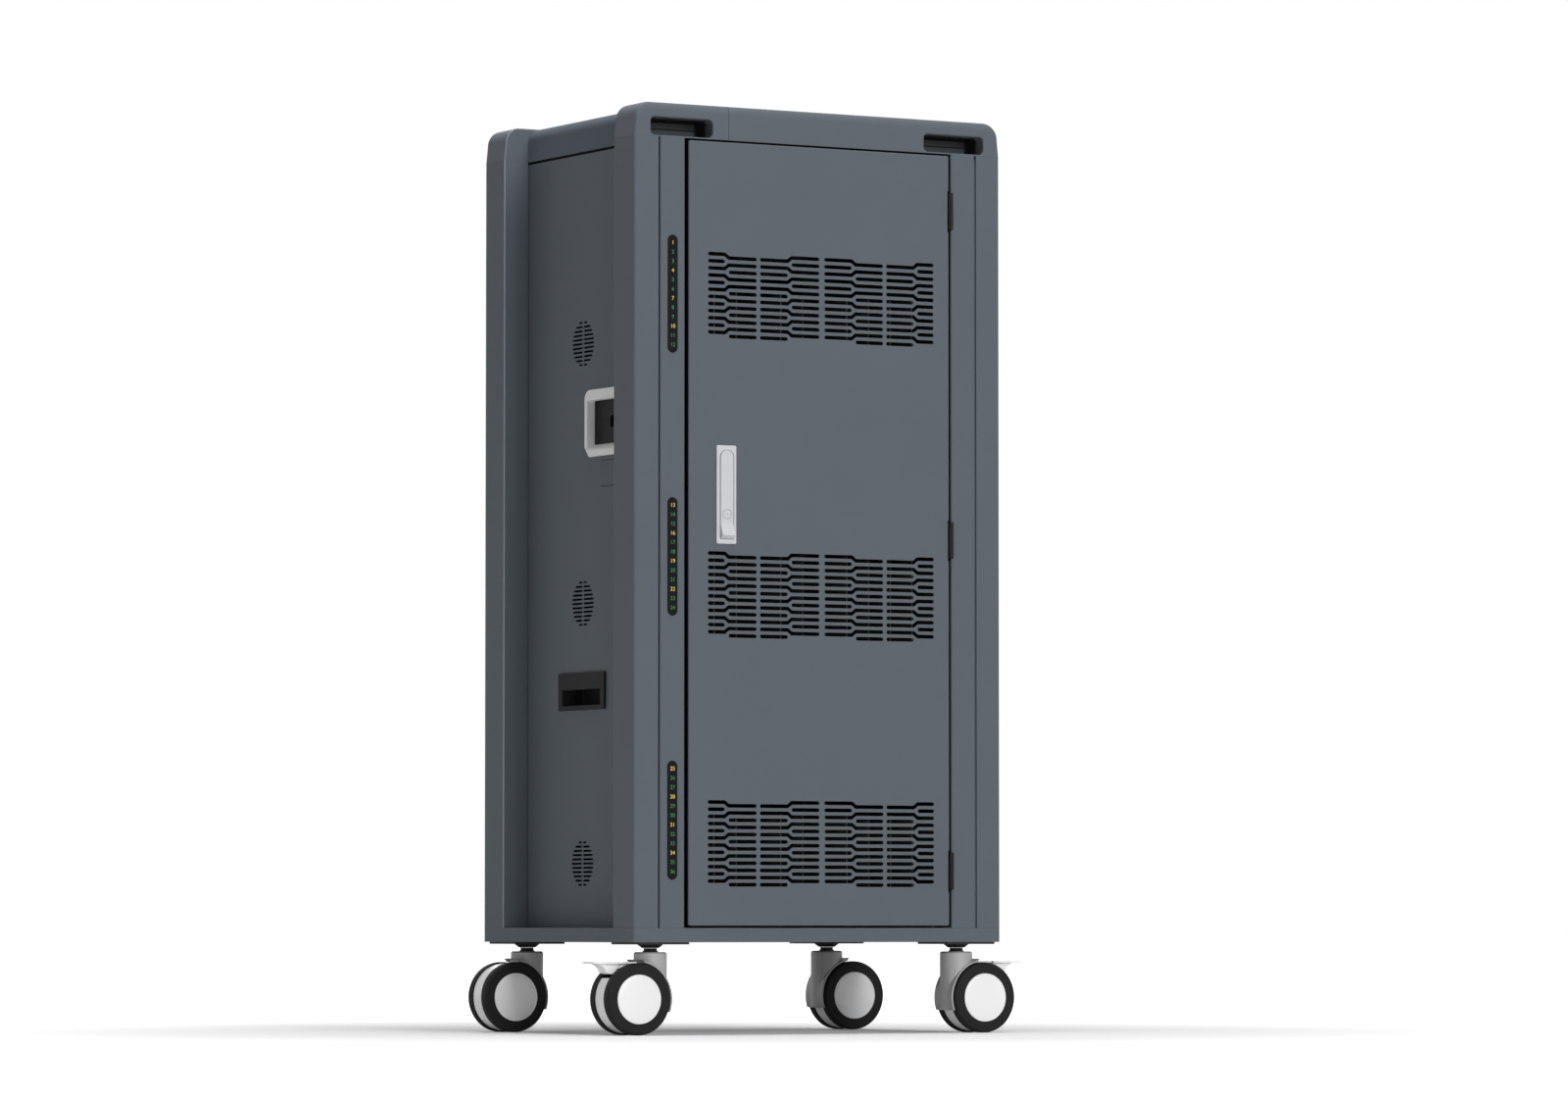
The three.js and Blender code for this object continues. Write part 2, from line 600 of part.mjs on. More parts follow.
// Handle: a round-headed bar whose foot rises to a thumb lip
function lockHandle() {
  const half = LOCK_HANDLE_WIDTH / 2;
  const foot = HANDLE_TOP - LOCK_HANDLE_HEIGHT;
  const head = fullRound(LOCK_HANDLE_WIDTH);
  const outline = roundedRectangle(LOCK_X - half, LOCK_X + half, foot, HANDLE_TOP, [0, 0, head, head]);
  const lip = polygon([
    [HANDLE_BACK, foot], [HANDLE_BACK, foot + LOCK_LIP_HEIGHT], [HANDLE_FRONT, foot + LOCK_LIP_HEIGHT],
    [HANDLE_FRONT - LOCK_LIP_RAISE, foot + LOCK_LIP_EDGE], [HANDLE_FRONT, foot],
  ]);
  const bar = join(alongY(outline, HANDLE_FRONT, HANDLE_BACK), alongX(lip, LOCK_X - half, LOCK_X + half));
  const seat = crossRound(
    LOCK_CYLINDER + FIT, LOCK_X, cylinderZ, HANDLE_FRONT - SHEET, HANDLE_FRONT + LOCK_CYLINDER_DEPTH + FIT);
  return cut(bar, seat);
}

function lockCylinder() {
  const front = HANDLE_FRONT - LOCK_CYLINDER_PROUD;
  const plug = crossRound(LOCK_CYLINDER, LOCK_X, cylinderZ, front, HANDLE_FRONT + LOCK_CYLINDER_DEPTH);
  const wide = KEYHOLE_WIDTH / 2;
  const tall = KEYHOLE_HEIGHT / 2;
  const keyhole = box(
    LOCK_X - wide, LOCK_X + wide, front - SHEET, front + KEYHOLE_DEPTH, cylinderZ - tall, cylinderZ + tall);
  return cut(plug, keyhole);
}

// Slots of one round vent in a side panel, drawn in Y and Z
function sideVentSlots(height) {
  const middle = BASE + height;
  const radius = SIDE_VENT_DIAMETER / 2;
  const slots = [];
  for (let row = 0; row < SIDE_VENT_ROWS; row += 1) {
    const rise = (row - (SIDE_VENT_ROWS - 1) / 2) * SIDE_VENT_PITCH;
    const reach = Math.sqrt(radius ** 2 - rise ** 2);
    const z = [middle + rise - SIDE_VENT_SLOT / 2, middle + rise + SIDE_VENT_SLOT / 2];
    slots.push(rectangle(SIDE_VENT_Y - reach, SIDE_VENT_Y - SIDE_VENT_RIB / 2, z[0], z[1]));
    slots.push(rectangle(SIDE_VENT_Y + SIDE_VENT_RIB / 2, SIDE_VENT_Y + reach, z[0], z[1]));
  }
  return slots;
}

const LIFT_CUP_Y = LIFT_WIDTH / 2 - LIFT_RIM;
const LIFT_CUP_Z = LIFT_HEIGHT / 2 - LIFT_RIM / 2;

// Outline of a lifting handle's cup, grown on every edge
function liftCup(grow) {
  const z = BASE + LIFT_MIDDLE;
  const reach = LIFT_CUP_Y + grow;
  const rise = LIFT_CUP_Z + grow;
  return rectangle(LIFT_Y - reach, LIFT_Y + reach, z - rise, z + rise);
}

// Side panel; a collar is folded in round the hole of the lifting handle
function sidePanel(side, withBezel) {
  const head = OPENING_TOP - PANEL_HEAD_GAP;
  const face = rectangle(PANEL_FRONT_Y, REAR_PANEL_BACK, FLOOR, head);
  const holes = SIDE_VENT_HEIGHTS.flatMap(sideVentSlots);
  holes.push(liftCup(FIT));
  if (withBezel) {
    holes.push(rectangle(
      BEZEL_FRONT_Y + BEZEL_LEDGE - FIT, BEZEL_REAR_Y - BEZEL_LEDGE + FIT,
      BEZEL_Z + BEZEL_COLLAR_FOOT - FIT, BEZEL_Z + BEZEL_HEIGHT - BEZEL_LEDGE + FIT));
  }
  const slice = (shape, a, b) => alongX(shape, Math.min(side * a, side * b), Math.max(side * a, side * b));
  const collarEnd = PANEL_INNER_X - LIFT_COLLAR;
  const collar = slice(liftCup(FIT + SHEET), collarEnd, PANEL_X - SHEET / 2);
  const through = (hole) => slice(hole, collarEnd - SHEET, PANEL_X + SHEET);
  return cut(join(slice(face, PANEL_INNER_X, PANEL_X), collar), bundle(holes.map(through)));
}

// Flush lifting handle: a flange, a cup behind it and a mouth in its lower part
function liftHandle(side) {
  const z = BASE + LIFT_MIDDLE;
  const between = (a, b) => [side * a, side * b].sort((p, q) => p - q);
  const slice = (shape, a, b) => alongX(shape, ...between(a, b));
  const outer = PANEL_X + LIFT_PROUD;
  const inner = PANEL_X - LIFT_DEPTH;
  const flange = roundedRectangle(
    LIFT_Y - LIFT_WIDTH / 2, LIFT_Y + LIFT_WIDTH / 2, z - LIFT_HEIGHT / 2, z + LIFT_HEIGHT / 2, LIFT_CORNER);
  const y = [LIFT_Y - LIFT_MOUTH_WIDTH / 2, LIFT_Y + LIFT_MOUTH_WIDTH / 2];
  const room = rectangle(y[0], y[1], z - LIFT_CUP_Z + LIFT_WALL, z + LIFT_CUP_Z - LIFT_WALL);
  const foot = z - LIFT_HEIGHT / 2 + LIFT_MOUTH_FOOT + LIFT_WALL;
  const mouth = roundedRectangle(y[0], y[1], foot, foot + LIFT_MOUTH_HEIGHT, LIFT_CORNER);
  const body = join(slice(flange, PANEL_X, outer), slice(liftCup(0), inner, PANEL_X + LIFT_PROUD / 2));
  const hollow = slice(room, inner + LIFT_WALL, PANEL_X - LIFT_WALL);
  return cut(body, hollow, slice(mouth, inner + LIFT_WALL, outer + SHEET));
}

// Silver bezel: a raised frame with chamfered lower corners, and a collar through the left panel
const bezelOpening = {
  y0: BEZEL_FRONT_Y + BEZEL_SIDE,
  y1: BEZEL_REAR_Y - BEZEL_SIDE,
  z0: BEZEL_Z + BEZEL_SILL + BEZEL_SILL_RISE,
  z1: BEZEL_Z + BEZEL_HEIGHT - BEZEL_HEAD,
};

function bezelOutline() {
  const head = BEZEL_Z + BEZEL_HEIGHT - BEZEL_CORNER;
  const outline = new THREE.Shape();
  outline.moveTo(BEZEL_FRONT_Y + BEZEL_CHAMFER_WIDTH, BEZEL_Z);
  outline.lineTo(BEZEL_REAR_Y - BEZEL_CHAMFER_WIDTH, BEZEL_Z);
  outline.lineTo(BEZEL_REAR_Y, BEZEL_Z + BEZEL_CHAMFER_HEIGHT);
  outline.absarc(BEZEL_REAR_Y - BEZEL_CORNER, head, BEZEL_CORNER, 0, Math.PI / 2, false);
  outline.absarc(BEZEL_FRONT_Y + BEZEL_CORNER, head, BEZEL_CORNER, Math.PI / 2, Math.PI, false);
  outline.lineTo(BEZEL_FRONT_Y, BEZEL_Z + BEZEL_CHAMFER_HEIGHT);
  return outline;
}

function sideBezel() {
  const back = BEZEL_OUTER_X + BEZEL_DEPTH;
  const collar = rectangle(
    BEZEL_FRONT_Y + BEZEL_LEDGE, BEZEL_REAR_Y - BEZEL_LEDGE,
    BEZEL_Z + BEZEL_COLLAR_FOOT, BEZEL_Z + BEZEL_HEIGHT - BEZEL_LEDGE);
  const frame = alongX(bezelOutline(), BEZEL_OUTER_X, -PANEL_X);
  const body = join(frame, alongX(collar, BEZEL_OUTER_X + SHEET, back));
  const { y0, y1, z0, z1 } = bezelOpening;
  const slope = BEZEL_SILL_RISE / BEZEL_DEPTH;
  const sill = (x) => z0 + slope * (x - back);
  const mouth = BEZEL_OUTER_X - SHEET;
  const end = back + SHEET;
  const hole = polygon([[mouth, sill(mouth)], [end, sill(end)], [end, z1], [mouth, z1]]);
  return cut(body, alongY(hole, y0, y1));
}

// Dark inlet block that closes the bezel's recess, with a socket for a mains lead
function powerInlet() {
  const { y0, y1, z0, z1 } = bezelOpening;
  const block = box(INLET_X, INLET_X + INLET_DEPTH, y0 - SHEET, y1 + SHEET, z0 - SHEET, z1 + SHEET);
  const y = (y0 + y1) / 2;
  const z = (z0 + z1) / 2;
  const corners = [0, 0, INLET_SOCKET_CORNER, INLET_SOCKET_CORNER];
  const socket = roundedRectangle(
    y - INLET_SOCKET_WIDTH / 2, y + INLET_SOCKET_WIDTH / 2,
    z - INLET_SOCKET_HEIGHT / 2, z + INLET_SOCKET_HEIGHT / 2, corners);
  return cut(block, alongX(socket, INLET_X - SHEET, INLET_X + INLET_SOCKET_DEPTH));
}

// Room that shelves and racks leave round the inlet block
function inletRoom() {
  const clear = 4 * FIT;
  return box(
    -PANEL_X, INLET_X + INLET_DEPTH + clear, BEZEL_FRONT_Y, BEZEL_REAR_Y, BEZEL_Z, BEZEL_Z + BEZEL_HEIGHT);
}

// Shelf with folded front and rear lips, notched where it meets the inlet
function shelf(tier) {
  const front = FRONT + SHELF_FRONT;
  const rear = HALF_DEPTH - SHELF_REAR;
  const top = tierFloor(tier);
  const under = top - SHEET;
  const foot = top - SHELF_LIP;
  const section = polygon([
    [front, foot], [front + SHEET, foot], [front + SHEET, under], [rear - SHEET, under],
    [rear - SHEET, foot], [rear, foot], [rear, top], [front, top],
  ]);
  return cut(alongX(section, FIT - PANEL_INNER_X, PANEL_INNER_X - FIT), inletRoom());
}

// Rack of upright dividers on one sheet, drawn as a comb and carried along Y
function dividerRack(tier) {
  const foot = tierFloor(tier);
  const seat = foot + SHEET;
  const head = foot + DIVIDER_HEIGHT;
  const half = DIVIDER / 2;
  const first = -BAYS * BAY_PITCH / 2;
  const last = -first;
  const comb = [[first - half, foot], [last + half, foot]];
  for (let fin = BAYS; fin >= 0; fin -= 1) {
    const x = first + fin * BAY_PITCH;
    if (fin < BAYS) comb.push([x + half, seat]);
    comb.push([x + half, head], [x - half, head]);
    if (fin > 0) comb.push([x - half, seat]);
  }
  const front = FRONT + SHELF_FRONT + DIVIDER_INSET;
  return cut(alongY(polygon(comb), front, front + RACK_DEPTH), inletRoom());
}

// Rear panel with rows of plain slots behind each tier
function rearPanel() {
  const reach = PANEL_INNER_X - FIT;
  const front = REAR_PANEL_BACK - SHEET;
  const slots = [];
  for (let tier = 0; tier < TIER_COUNT; tier += 1) {
    for (let row = 0; row < REAR_SLOT_COUNT; row += 1) {
      const z = tierFloor(tier) + TIER_PITCH / 2 + (row - (REAR_SLOT_COUNT - 1) / 2) * REAR_SLOT_PITCH;
      for (const side of [-1, 1]) {
        const x = [side * POWER_WIDTH, side * (POWER_WIDTH + REAR_SLOT_WIDTH)].sort((a, b) => a - b);
        const foot = z - REAR_SLOT_HEIGHT / 2;
        slots.push(box(x[0], x[1], front - SHEET, REAR_PANEL_BACK + SHEET, foot, foot + REAR_SLOT_HEIGHT));
      }
    }
  }
  return cut(box(-reach, reach, front, REAR_PANEL_BACK, FLOOR, OPENING_TOP), bundle(slots));
}

// Upright power strip on the rear panel, with a row of socket recesses
function powerStrip() {
  const rear = REAR_PANEL_BACK - SHEET;
  const front = rear - POWER_DEPTH;
  const foot = FLOOR + POWER_END;
  const head = OPENING_TOP - POWER_END;
  const pitch = (head - foot) / SOCKET_COUNT;
  const sockets = [];
  for (let index = 0; index < SOCKET_COUNT; index += 1) {
    const z = foot + (index + 0.5) * pitch;
    const half = SOCKET_SIZE / 2;
    sockets.push(box(-half, half, front - SHEET, front + SOCKET_DEPTH, z - half, z + half));
  }
  return cut(box(-POWER_WIDTH / 2, POWER_WIDTH / 2, front, rear, foot, head), ...sockets);
}

// Caster parts, drawn about the swivel axis with the wheel trailing towards outward (-1 or 1)
const RACE_FOOT = CASTER_HEIGHT - CASTER_PLATE_THICKNESS - RACE_HEIGHT;
const COLUMN_TOP = RACE_FOOT - NECK_HEIGHT;
const WEB_HALF = WEB_WIDTH / 2;
const TYRE_INNER_Y = WEB_HALF + WHEEL_CLEARANCE;
const TYRE_OUTER_Y = TYRE_INNER_Y + TYRE_WIDTH;
const WHEEL_CORNER_RADIUS = WHEEL_RADIUS / Math.cos(Math.PI / WHEEL_SIDES);

function casterPlate() {
  const half = CASTER_PLATE / 2;
  const foot = CASTER_HEIGHT - CASTER_PLATE_THICKNESS;
  const plate = upright(roundedRectangle(-half, half, -half, half, POST_CORNER), foot, CASTER_HEIGHT);
  const race = postRound(RACE_FOOT_RADIUS, 0, 0, RACE_FOOT, foot + MERGE, SMALL_SIDES, RACE_TOP_RADIUS);
  const bore = postRound(
    KINGPIN_RADIUS + FIT, 0, 0, RACE_FOOT - MERGE, RACE_FOOT + KINGPIN_RISE + FIT, SMALL_SIDES);
  return cut(join(plate, race), bore);
}

function casterFork(outward, braked) {
  const axleX = outward * CASTER_TRAIL;
  const axleZ = WHEEL_RADIUS;
  const far = FENDER_RADIUS * 2;
  const inboard = -outward * far;
  const outboard = axleX + outward * FENDER_OUTBOARD;
  const x = [inboard, outboard].sort((a, b) => a - b);
  const keep = box(x[0], x[1], -far, far, axleZ - FENDER_BELOW_AXLE, CASTER_HEIGHT);
  const hood = crossRound(FENDER_RADIUS, axleX, axleZ, -FENDER_WIDTH / 2, FENDER_WIDTH / 2, FORK_SIDES);
  const column = postRound(COLUMN_RADIUS, 0, 0, axleZ - FENDER_BELOW_AXLE, COLUMN_TOP);
  const neck = postRound(NECK_RADIUS, 0, 0, COLUMN_TOP - MERGE, RACE_FOOT - FIT, SMALL_SIDES);
  const kingpin = postRound(KINGPIN_RADIUS, 0, 0, COLUMN_TOP, RACE_FOOT + KINGPIN_RISE, SMALL_SIDES);
  const wheelRoom = FENDER_RADIUS - FENDER_WALL;
  const wells = [-1, 1].map((side) => {
    const y = [side * WEB_HALF, side * far].sort((a, b) => a - b);
    return crossRound(wheelRoom, axleX, axleZ, y[0], y[1], FORK_SIDES);
  });
  const web = crossRound(WEB_RADIUS, axleX, axleZ, -WEB_HALF, WEB_HALF, FORK_SIDES);
  const bore = crossRound(AXLE_RADIUS + FIT, axleX, axleZ, -far, far, SMALL_SIDES);
  const shell = cut(join(overlap(hood, keep), column), ...wells);
  const fork = cut(join(shell, web, neck, kingpin), bore);
  return braked ? cut(fork, ...pedalRoom(outward)) : fork;
}

// Space in the fork for the pedal's tongue and for its rib when it is pressed
function pedalRoom(outward) {
  const between = (a, b) => [outward * a, outward * b].sort((p, q) => p - q);
  const tongue = PEDAL_TONGUE / 2 + PEDAL_CLEARANCE;
  const tail = between(PEDAL_PIVOT_X - PEDAL_TONGUE_HEIGHT, PEDAL_REACH);
  const head = FENDER_RADIUS + CASTER_HEIGHT;
  const foot = PEDAL_PIVOT_Z - PEDAL_TONGUE_HEIGHT;
  const slot = box(tail[0], tail[1], -tongue, tongue, foot, head);
  const ribStart = CASTER_TRAIL + FENDER_OUTBOARD + PEDAL_CLEARANCE;
  const rib = between(ribStart, PEDAL_REACH);
  const drop = PEDAL_TOP - PEDAL_RIB_DROP - PEDAL_TONGUE_HEIGHT;
  return [slot, box(rib[0], rib[1], -WEB_HALF - SHEET, WEB_HALF + SHEET, drop, head)];
}

function brakePedal(outward) {
  const side = (points) => polygon(points.map(([x, z]) => [outward * x, z]));
  const start = CASTER_TRAIL + FENDER_OUTBOARD + PEDAL_START_GAP;
  const pad = side([
    [start, PEDAL_TOP - PEDAL_TIP], [start + PEDAL_ROOT, PEDAL_TOP - PEDAL_ROOT],
    [PEDAL_REACH - PEDAL_ROOT, PEDAL_TOP - PEDAL_ROOT], [PEDAL_REACH, PEDAL_TOP - PEDAL_TIP],
    [PEDAL_REACH, PEDAL_TOP], [start, PEDAL_TOP],
  ]);
  const rib = side([
    [start + PEDAL_ROOT, PEDAL_TOP - PEDAL_ROOT / 2], [PEDAL_RIB_X - PEDAL_ROOT, PEDAL_TOP - PEDAL_RIB_DROP],
    [PEDAL_RIB_X, PEDAL_TOP - PEDAL_RIB_DROP], [PEDAL_RIB_X + 2 * PEDAL_ROOT, PEDAL_TOP - 2 * PEDAL_ROOT],
    [PEDAL_REACH - PEDAL_ROOT, PEDAL_TOP - PEDAL_ROOT / 2],
  ]);
  const half = PEDAL_TONGUE_HEIGHT / 2;
  const tongue = side([
    [PEDAL_PIVOT_X - half, PEDAL_PIVOT_Z - half / 2], [PEDAL_PIVOT_X + half, PEDAL_PIVOT_Z - half],
    [start + 2 * PEDAL_ROOT, PEDAL_PIVOT_Z], [start + 2 * PEDAL_ROOT, PEDAL_TOP - MERGE],
    [PEDAL_PIVOT_X, PEDAL_TOP - MERGE], [PEDAL_PIVOT_X - half, PEDAL_PIVOT_Z + half],
  ]);
  const wide = PEDAL_WIDTH / 2;
  const narrow = PEDAL_RIB_WIDTH / 2;
  const thin = PEDAL_TONGUE / 2;
  return join(alongY(pad, -wide, wide), alongY(rib, -narrow, narrow), alongY(tongue, -thin, thin));
}

// Two hub discs on one axle
function wheelHubs(outward) {
  const seat = TYRE_BORE - FIT;
  const face = TYRE_OUTER_Y;
  const half = [
    [AXLE_RADIUS, TYRE_INNER_Y], [seat, TYRE_INNER_Y], [seat, face - HUB_DOME],
    [HUB_CROWN_RADIUS, face + HUB_DOME / 2], [0, face + HUB_DOME],
  ];
  const mirrored = half.map(([radius, y]) => [radius, -y]).reverse();
  return turned([...mirrored, ...half], outward * CASTER_TRAIL, WHEEL_RADIUS, WHEEL_SIDES);
}

function tyre(outward, end) {
  const tread = WHEEL_CORNER_RADIUS;
  const y = [end * TYRE_INNER_Y, end * TYRE_OUTER_Y].sort((a, b) => a - b);
  const profile = [
    [TYRE_BORE, y[0]], [tread - TYRE_ROUND, y[0]], [tread, y[0] + TYRE_ROUND], [tread, y[1] - TYRE_ROUND],
    [tread - TYRE_ROUND, y[1]], [TYRE_BORE, y[1]], [TYRE_BORE, y[0]],
  ];
  return turned(profile, outward * CASTER_TRAIL, WHEEL_RADIUS, WHEEL_SIDES);
}

function addCaster(name, side, end) {
  const place = new THREE.Group();
  place.position.set(side * CASTER_X, end * CASTER_Y, 0);
  cart.add(place);
  const braked = end < 0;
  piece(`${name}_plate`, casterPlate(), STEEL, place);
  piece(`${name}_fork`, casterFork(side, braked), SATIN_METAL, place);
  piece(`${name}_hubs`, wheelHubs(side), SATIN_METAL, place);
  piece(`${name}_tyre_front`, tyre(side, -1), RUBBER, place);
  piece(`${name}_tyre_rear`, tyre(side, 1), RUBBER, place);
  if (braked) piece(`${name}_pedal`, brakePedal(side), SATIN_METAL, place);
}

// Assembly
const SIDES = { left: -1, right: 1 };
const ENDS = { front: -1, rear: 1 };
const TIERS = Array.from({ length: TIER_COUNT }, (_, index) => index);
const TIER_NAMES = TIERS.map((tier) => `tier_${tier + 1}`);

piece('base_pan', basePan(), SLATE_PAINT);
for (const [sideName, side] of Object.entries(SIDES)) {
  for (const [endName, end] of Object.entries(ENDS)) {
    piece(`post_${endName}_${sideName}`, cornerPost(side, end), SLATE_PAINT);
    addCaster(`caster_${endName}_${sideName}`, side, end);
  }
  piece(`stile_${sideName}`, frontStile(side, side < 0 ? TIERS.map(stripWindow) : []), SLATE_PAINT);
  piece(`side_panel_${sideName}`, sidePanel(side, side < 0), SLATE_PAINT);
  piece(`lift_handle_${sideName}`, liftHandle(side), BLACK_PLASTIC);
}
piece('header_left', headerLength(-HALF_WIDTH, HEADER_JOINT_X - HEADER_JOINT_GAP / 2, -1), SLATE_PAINT);
piece('header_right', headerLength(HEADER_JOINT_X + HEADER_JOINT_GAP / 2, HALF_WIDTH, 1), SLATE_PAINT);
piece('header_rear', headerBar(1), SLATE_PAINT);
piece('roof_panel', roofPanel(), SLATE_PAINT);
piece('rear_panel', rearPanel(), SLATE_PAINT);
piece('front_door', frontDoor(), SLATE_PAINT);
HINGE_HEIGHTS.forEach((height, index) => {
  piece(`hinge_${index + 1}_frame_half`, hingeFrameHalf(height), BLACK_PLASTIC);
  piece(`hinge_${index + 1}_door_half`, hingeDoorHalf(height), BLACK_PLASTIC);
});
piece('lock_plate', lockPlate(), SILVER_PLASTIC);
piece('lock_spindle', lockSpindle(), STEEL);
piece('lock_handle', lockHandle(), SILVER_PLASTIC);
piece('lock_cylinder', lockCylinder(), STEEL);
TIERS.forEach((tier) => {
  piece(`indicator_strip_${TIER_NAMES[tier]}`, indicatorStrip(tier), BLACK_PLASTIC);
  piece(`divider_rack_${TIER_NAMES[tier]}`, dividerRack(tier), GREY_SHEET);
  if (tier > 0) piece(`shelf_${TIER_NAMES[tier]}`, shelf(tier), GREY_SHEET);
});
piece('power_strip', powerStrip(), BLACK_PLASTIC);
piece('side_bezel', sideBezel(), SILVER_PLASTIC);
piece('power_inlet', powerInlet(), BLACK_PLASTIC);

// The origin lies under the middle of the whole cart, lock handle included
cart.position.y = (FRONT_REACH - HALF_DEPTH) / 2;

export default cart;
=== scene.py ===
import math

import bmesh
import bpy
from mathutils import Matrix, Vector
from mathutils.geometry import delaunay_2d_cdt


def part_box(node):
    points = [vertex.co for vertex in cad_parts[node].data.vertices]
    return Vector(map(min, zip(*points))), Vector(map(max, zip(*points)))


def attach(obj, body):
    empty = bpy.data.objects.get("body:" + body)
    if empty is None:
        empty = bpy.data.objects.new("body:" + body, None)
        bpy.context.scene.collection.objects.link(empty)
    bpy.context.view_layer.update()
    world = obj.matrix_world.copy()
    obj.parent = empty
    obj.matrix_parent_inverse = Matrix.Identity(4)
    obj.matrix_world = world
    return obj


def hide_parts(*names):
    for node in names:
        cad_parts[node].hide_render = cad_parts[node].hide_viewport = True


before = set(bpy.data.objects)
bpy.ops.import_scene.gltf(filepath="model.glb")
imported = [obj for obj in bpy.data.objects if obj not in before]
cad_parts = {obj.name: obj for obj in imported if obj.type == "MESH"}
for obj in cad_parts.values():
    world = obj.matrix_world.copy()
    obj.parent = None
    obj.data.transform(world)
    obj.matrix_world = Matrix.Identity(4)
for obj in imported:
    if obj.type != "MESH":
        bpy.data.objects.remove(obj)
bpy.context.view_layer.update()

# Lengths below are in millimetres, and MM turns them into metres.
MM = 0.001
QUARTER = math.pi / 2
EDGE_STEPS = 3
CORNER_STEPS = 6
CAP_STEPS = 8
ROUND_STEPS = 96
SMOOTH_ANGLE = math.radians(38)


def node_box(name):
    low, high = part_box(name)
    return [value / MM for value in low], [value / MM for value in high]


def at(x, y, z):
    return Vector((x, y, z)) * MM


# Outlines. Each is a function of how far the outline is grown, and runs anticlockwise.
def arc(u, v, radius, start, sweep, steps):
    angles = [start + sweep * step / steps for step in range(steps + 1)]
    return [(u + radius * math.cos(angle), v + radius * math.sin(angle)) for angle in angles]


def rectangle(u0, u1, v0, v1, radius, steps=CORNER_STEPS):
    """A rounded rectangle, with one radius or four from the left foot round to the left head."""
    radii = radius if isinstance(radius, tuple) else (radius,) * 4
    corners = ((u0, v0, 1, 1), (u1, v0, -1, 1), (u1, v1, -1, -1), (u0, v1, 1, -1))

    def outline(grow=0.0):
        points = []
        for turn, ((u, v, inward_u, inward_v), corner) in enumerate(zip(corners, radii)):
            start = math.pi + turn * QUARTER
            points += arc(u + inward_u * corner, v + inward_v * corner, corner + grow, start, QUARTER, steps)
        return points

    return outline


def circle(u, v, radius, steps=ROUND_STEPS):
    return lambda grow=0.0: arc(u, v, radius + grow, 0, 2 * math.pi, steps)[:-1]


def slot(path, width, steps=CAP_STEPS):
    """A band of one width along a path, with round ends."""
    points = [Vector(point) for point in path]
    ways = [(ahead - behind).normalized() for behind, ahead in zip(points, points[1:])]
    lefts = [Vector((-way.y, way.x)) for way in ways]
    mitres = [(before + after) / (1 + before.dot(after)) for before, after in zip(lefts, lefts[1:])]
    first = math.atan2(ways[0].y, ways[0].x)
    last = math.atan2(ways[-1].y, ways[-1].x)

    def outline(grow=0.0):
        half = width / 2 + grow
        right = [tuple(point - mitre * half) for point, mitre in zip(points[1:-1], mitres)]
        left = [tuple(point + mitre * half) for point, mitre in zip(points[1:-1], mitres)]
        end_cap = arc(*points[-1], half, last - QUARTER, math.pi, steps)
        start_cap = arc(*points[0], half, first + QUARTER, math.pi, steps)
        return right + end_cap + left[::-1] + start_cap

    return outline


def stadium(u, v, width, height, steps=CAP_STEPS):
    rise = (height - width) / 2
    return slot(((u, v - rise), (u, v + rise)), width, steps)


# Rings. A ring is an outline at a depth behind the face.
def front_edge(outline, edge, side, depth=0.0):
    rings = []
    for step in range(EDGE_STEPS + 1):
        angle = QUARTER * step / EDGE_STEPS
        rings.append((outline(-side * edge * (1 - math.sin(angle))), depth + edge * (1 - math.cos(angle))))
    return rings


def back_edge(outline, edge, side, depth):
    rings = []
    for step in range(EDGE_STEPS + 1):
        angle = QUARTER * step / EDGE_STEPS
        rings.append((outline(-side * edge * (1 - math.cos(angle))), depth - edge * (1 - math.sin(angle))))
    return rings


def rim(outline, depth, edge):
    """The outside of a sheet, with both of its edges rounded."""
    return front_edge(outline, edge, 1) + back_edge(outline, edge, 1, depth)


def hole(outline, depth, edge):
    return front_edge(outline, edge, -1) + back_edge(outline, edge, -1, depth)


def pocket(outline, depth, edge, foot_edge):
    """A blind hole with a rounded mouth and a rounded floor."""
    return front_edge(outline, edge, -1) + back_edge(outline, foot_edge, 1, depth)


# Meshes.
def bridge(mesh, near, far):
    for index in range(len(near)):
        after = (index + 1) % len(near)
        mesh.faces.new((near[index], near[after], far[after], far[index]))


def within(point, loop):
    inside = False
    for (u0, v0), (u1, v1) in zip(loop, loop[1:] + loop[:1]):
        if (v0 > point[1]) != (v1 > point[1]) and point[0] < u0 + (point[1] - v0) * (u1 - u0) / (v1 - v0):
            inside = not inside
    return inside


def fill(mesh, loops):
    """Fills the first loop and leaves the others open. A loop is its points and its vertices."""
    points = []
    corners = []
    owners = []
    edges = []
    for owner, (flat, vertices) in enumerate(loops):
        start = len(points)
        points += [Vector(point) for point in flat]
        corners += vertices
        owners += [owner] * len(flat)
        edges += [(start + index, start + (index + 1) % len(flat)) for index in range(len(flat))]
    found = delaunay_2d_cdt(points, edges, [], 1, 1e-7)
    origins = found[3]
    for face in found[2]:
        trio = [origins[index][0] for index in face]
        owner = owners[trio[0]]
        if owner and all(owners[index] == owner for index in trio):
            middle = (points[trio[0]] + points[trio[1]] + points[trio[2]]) / 3
            if within(middle, loops[owner][0]):
                continue
        mesh.faces.new([corners[index] for index in trio])


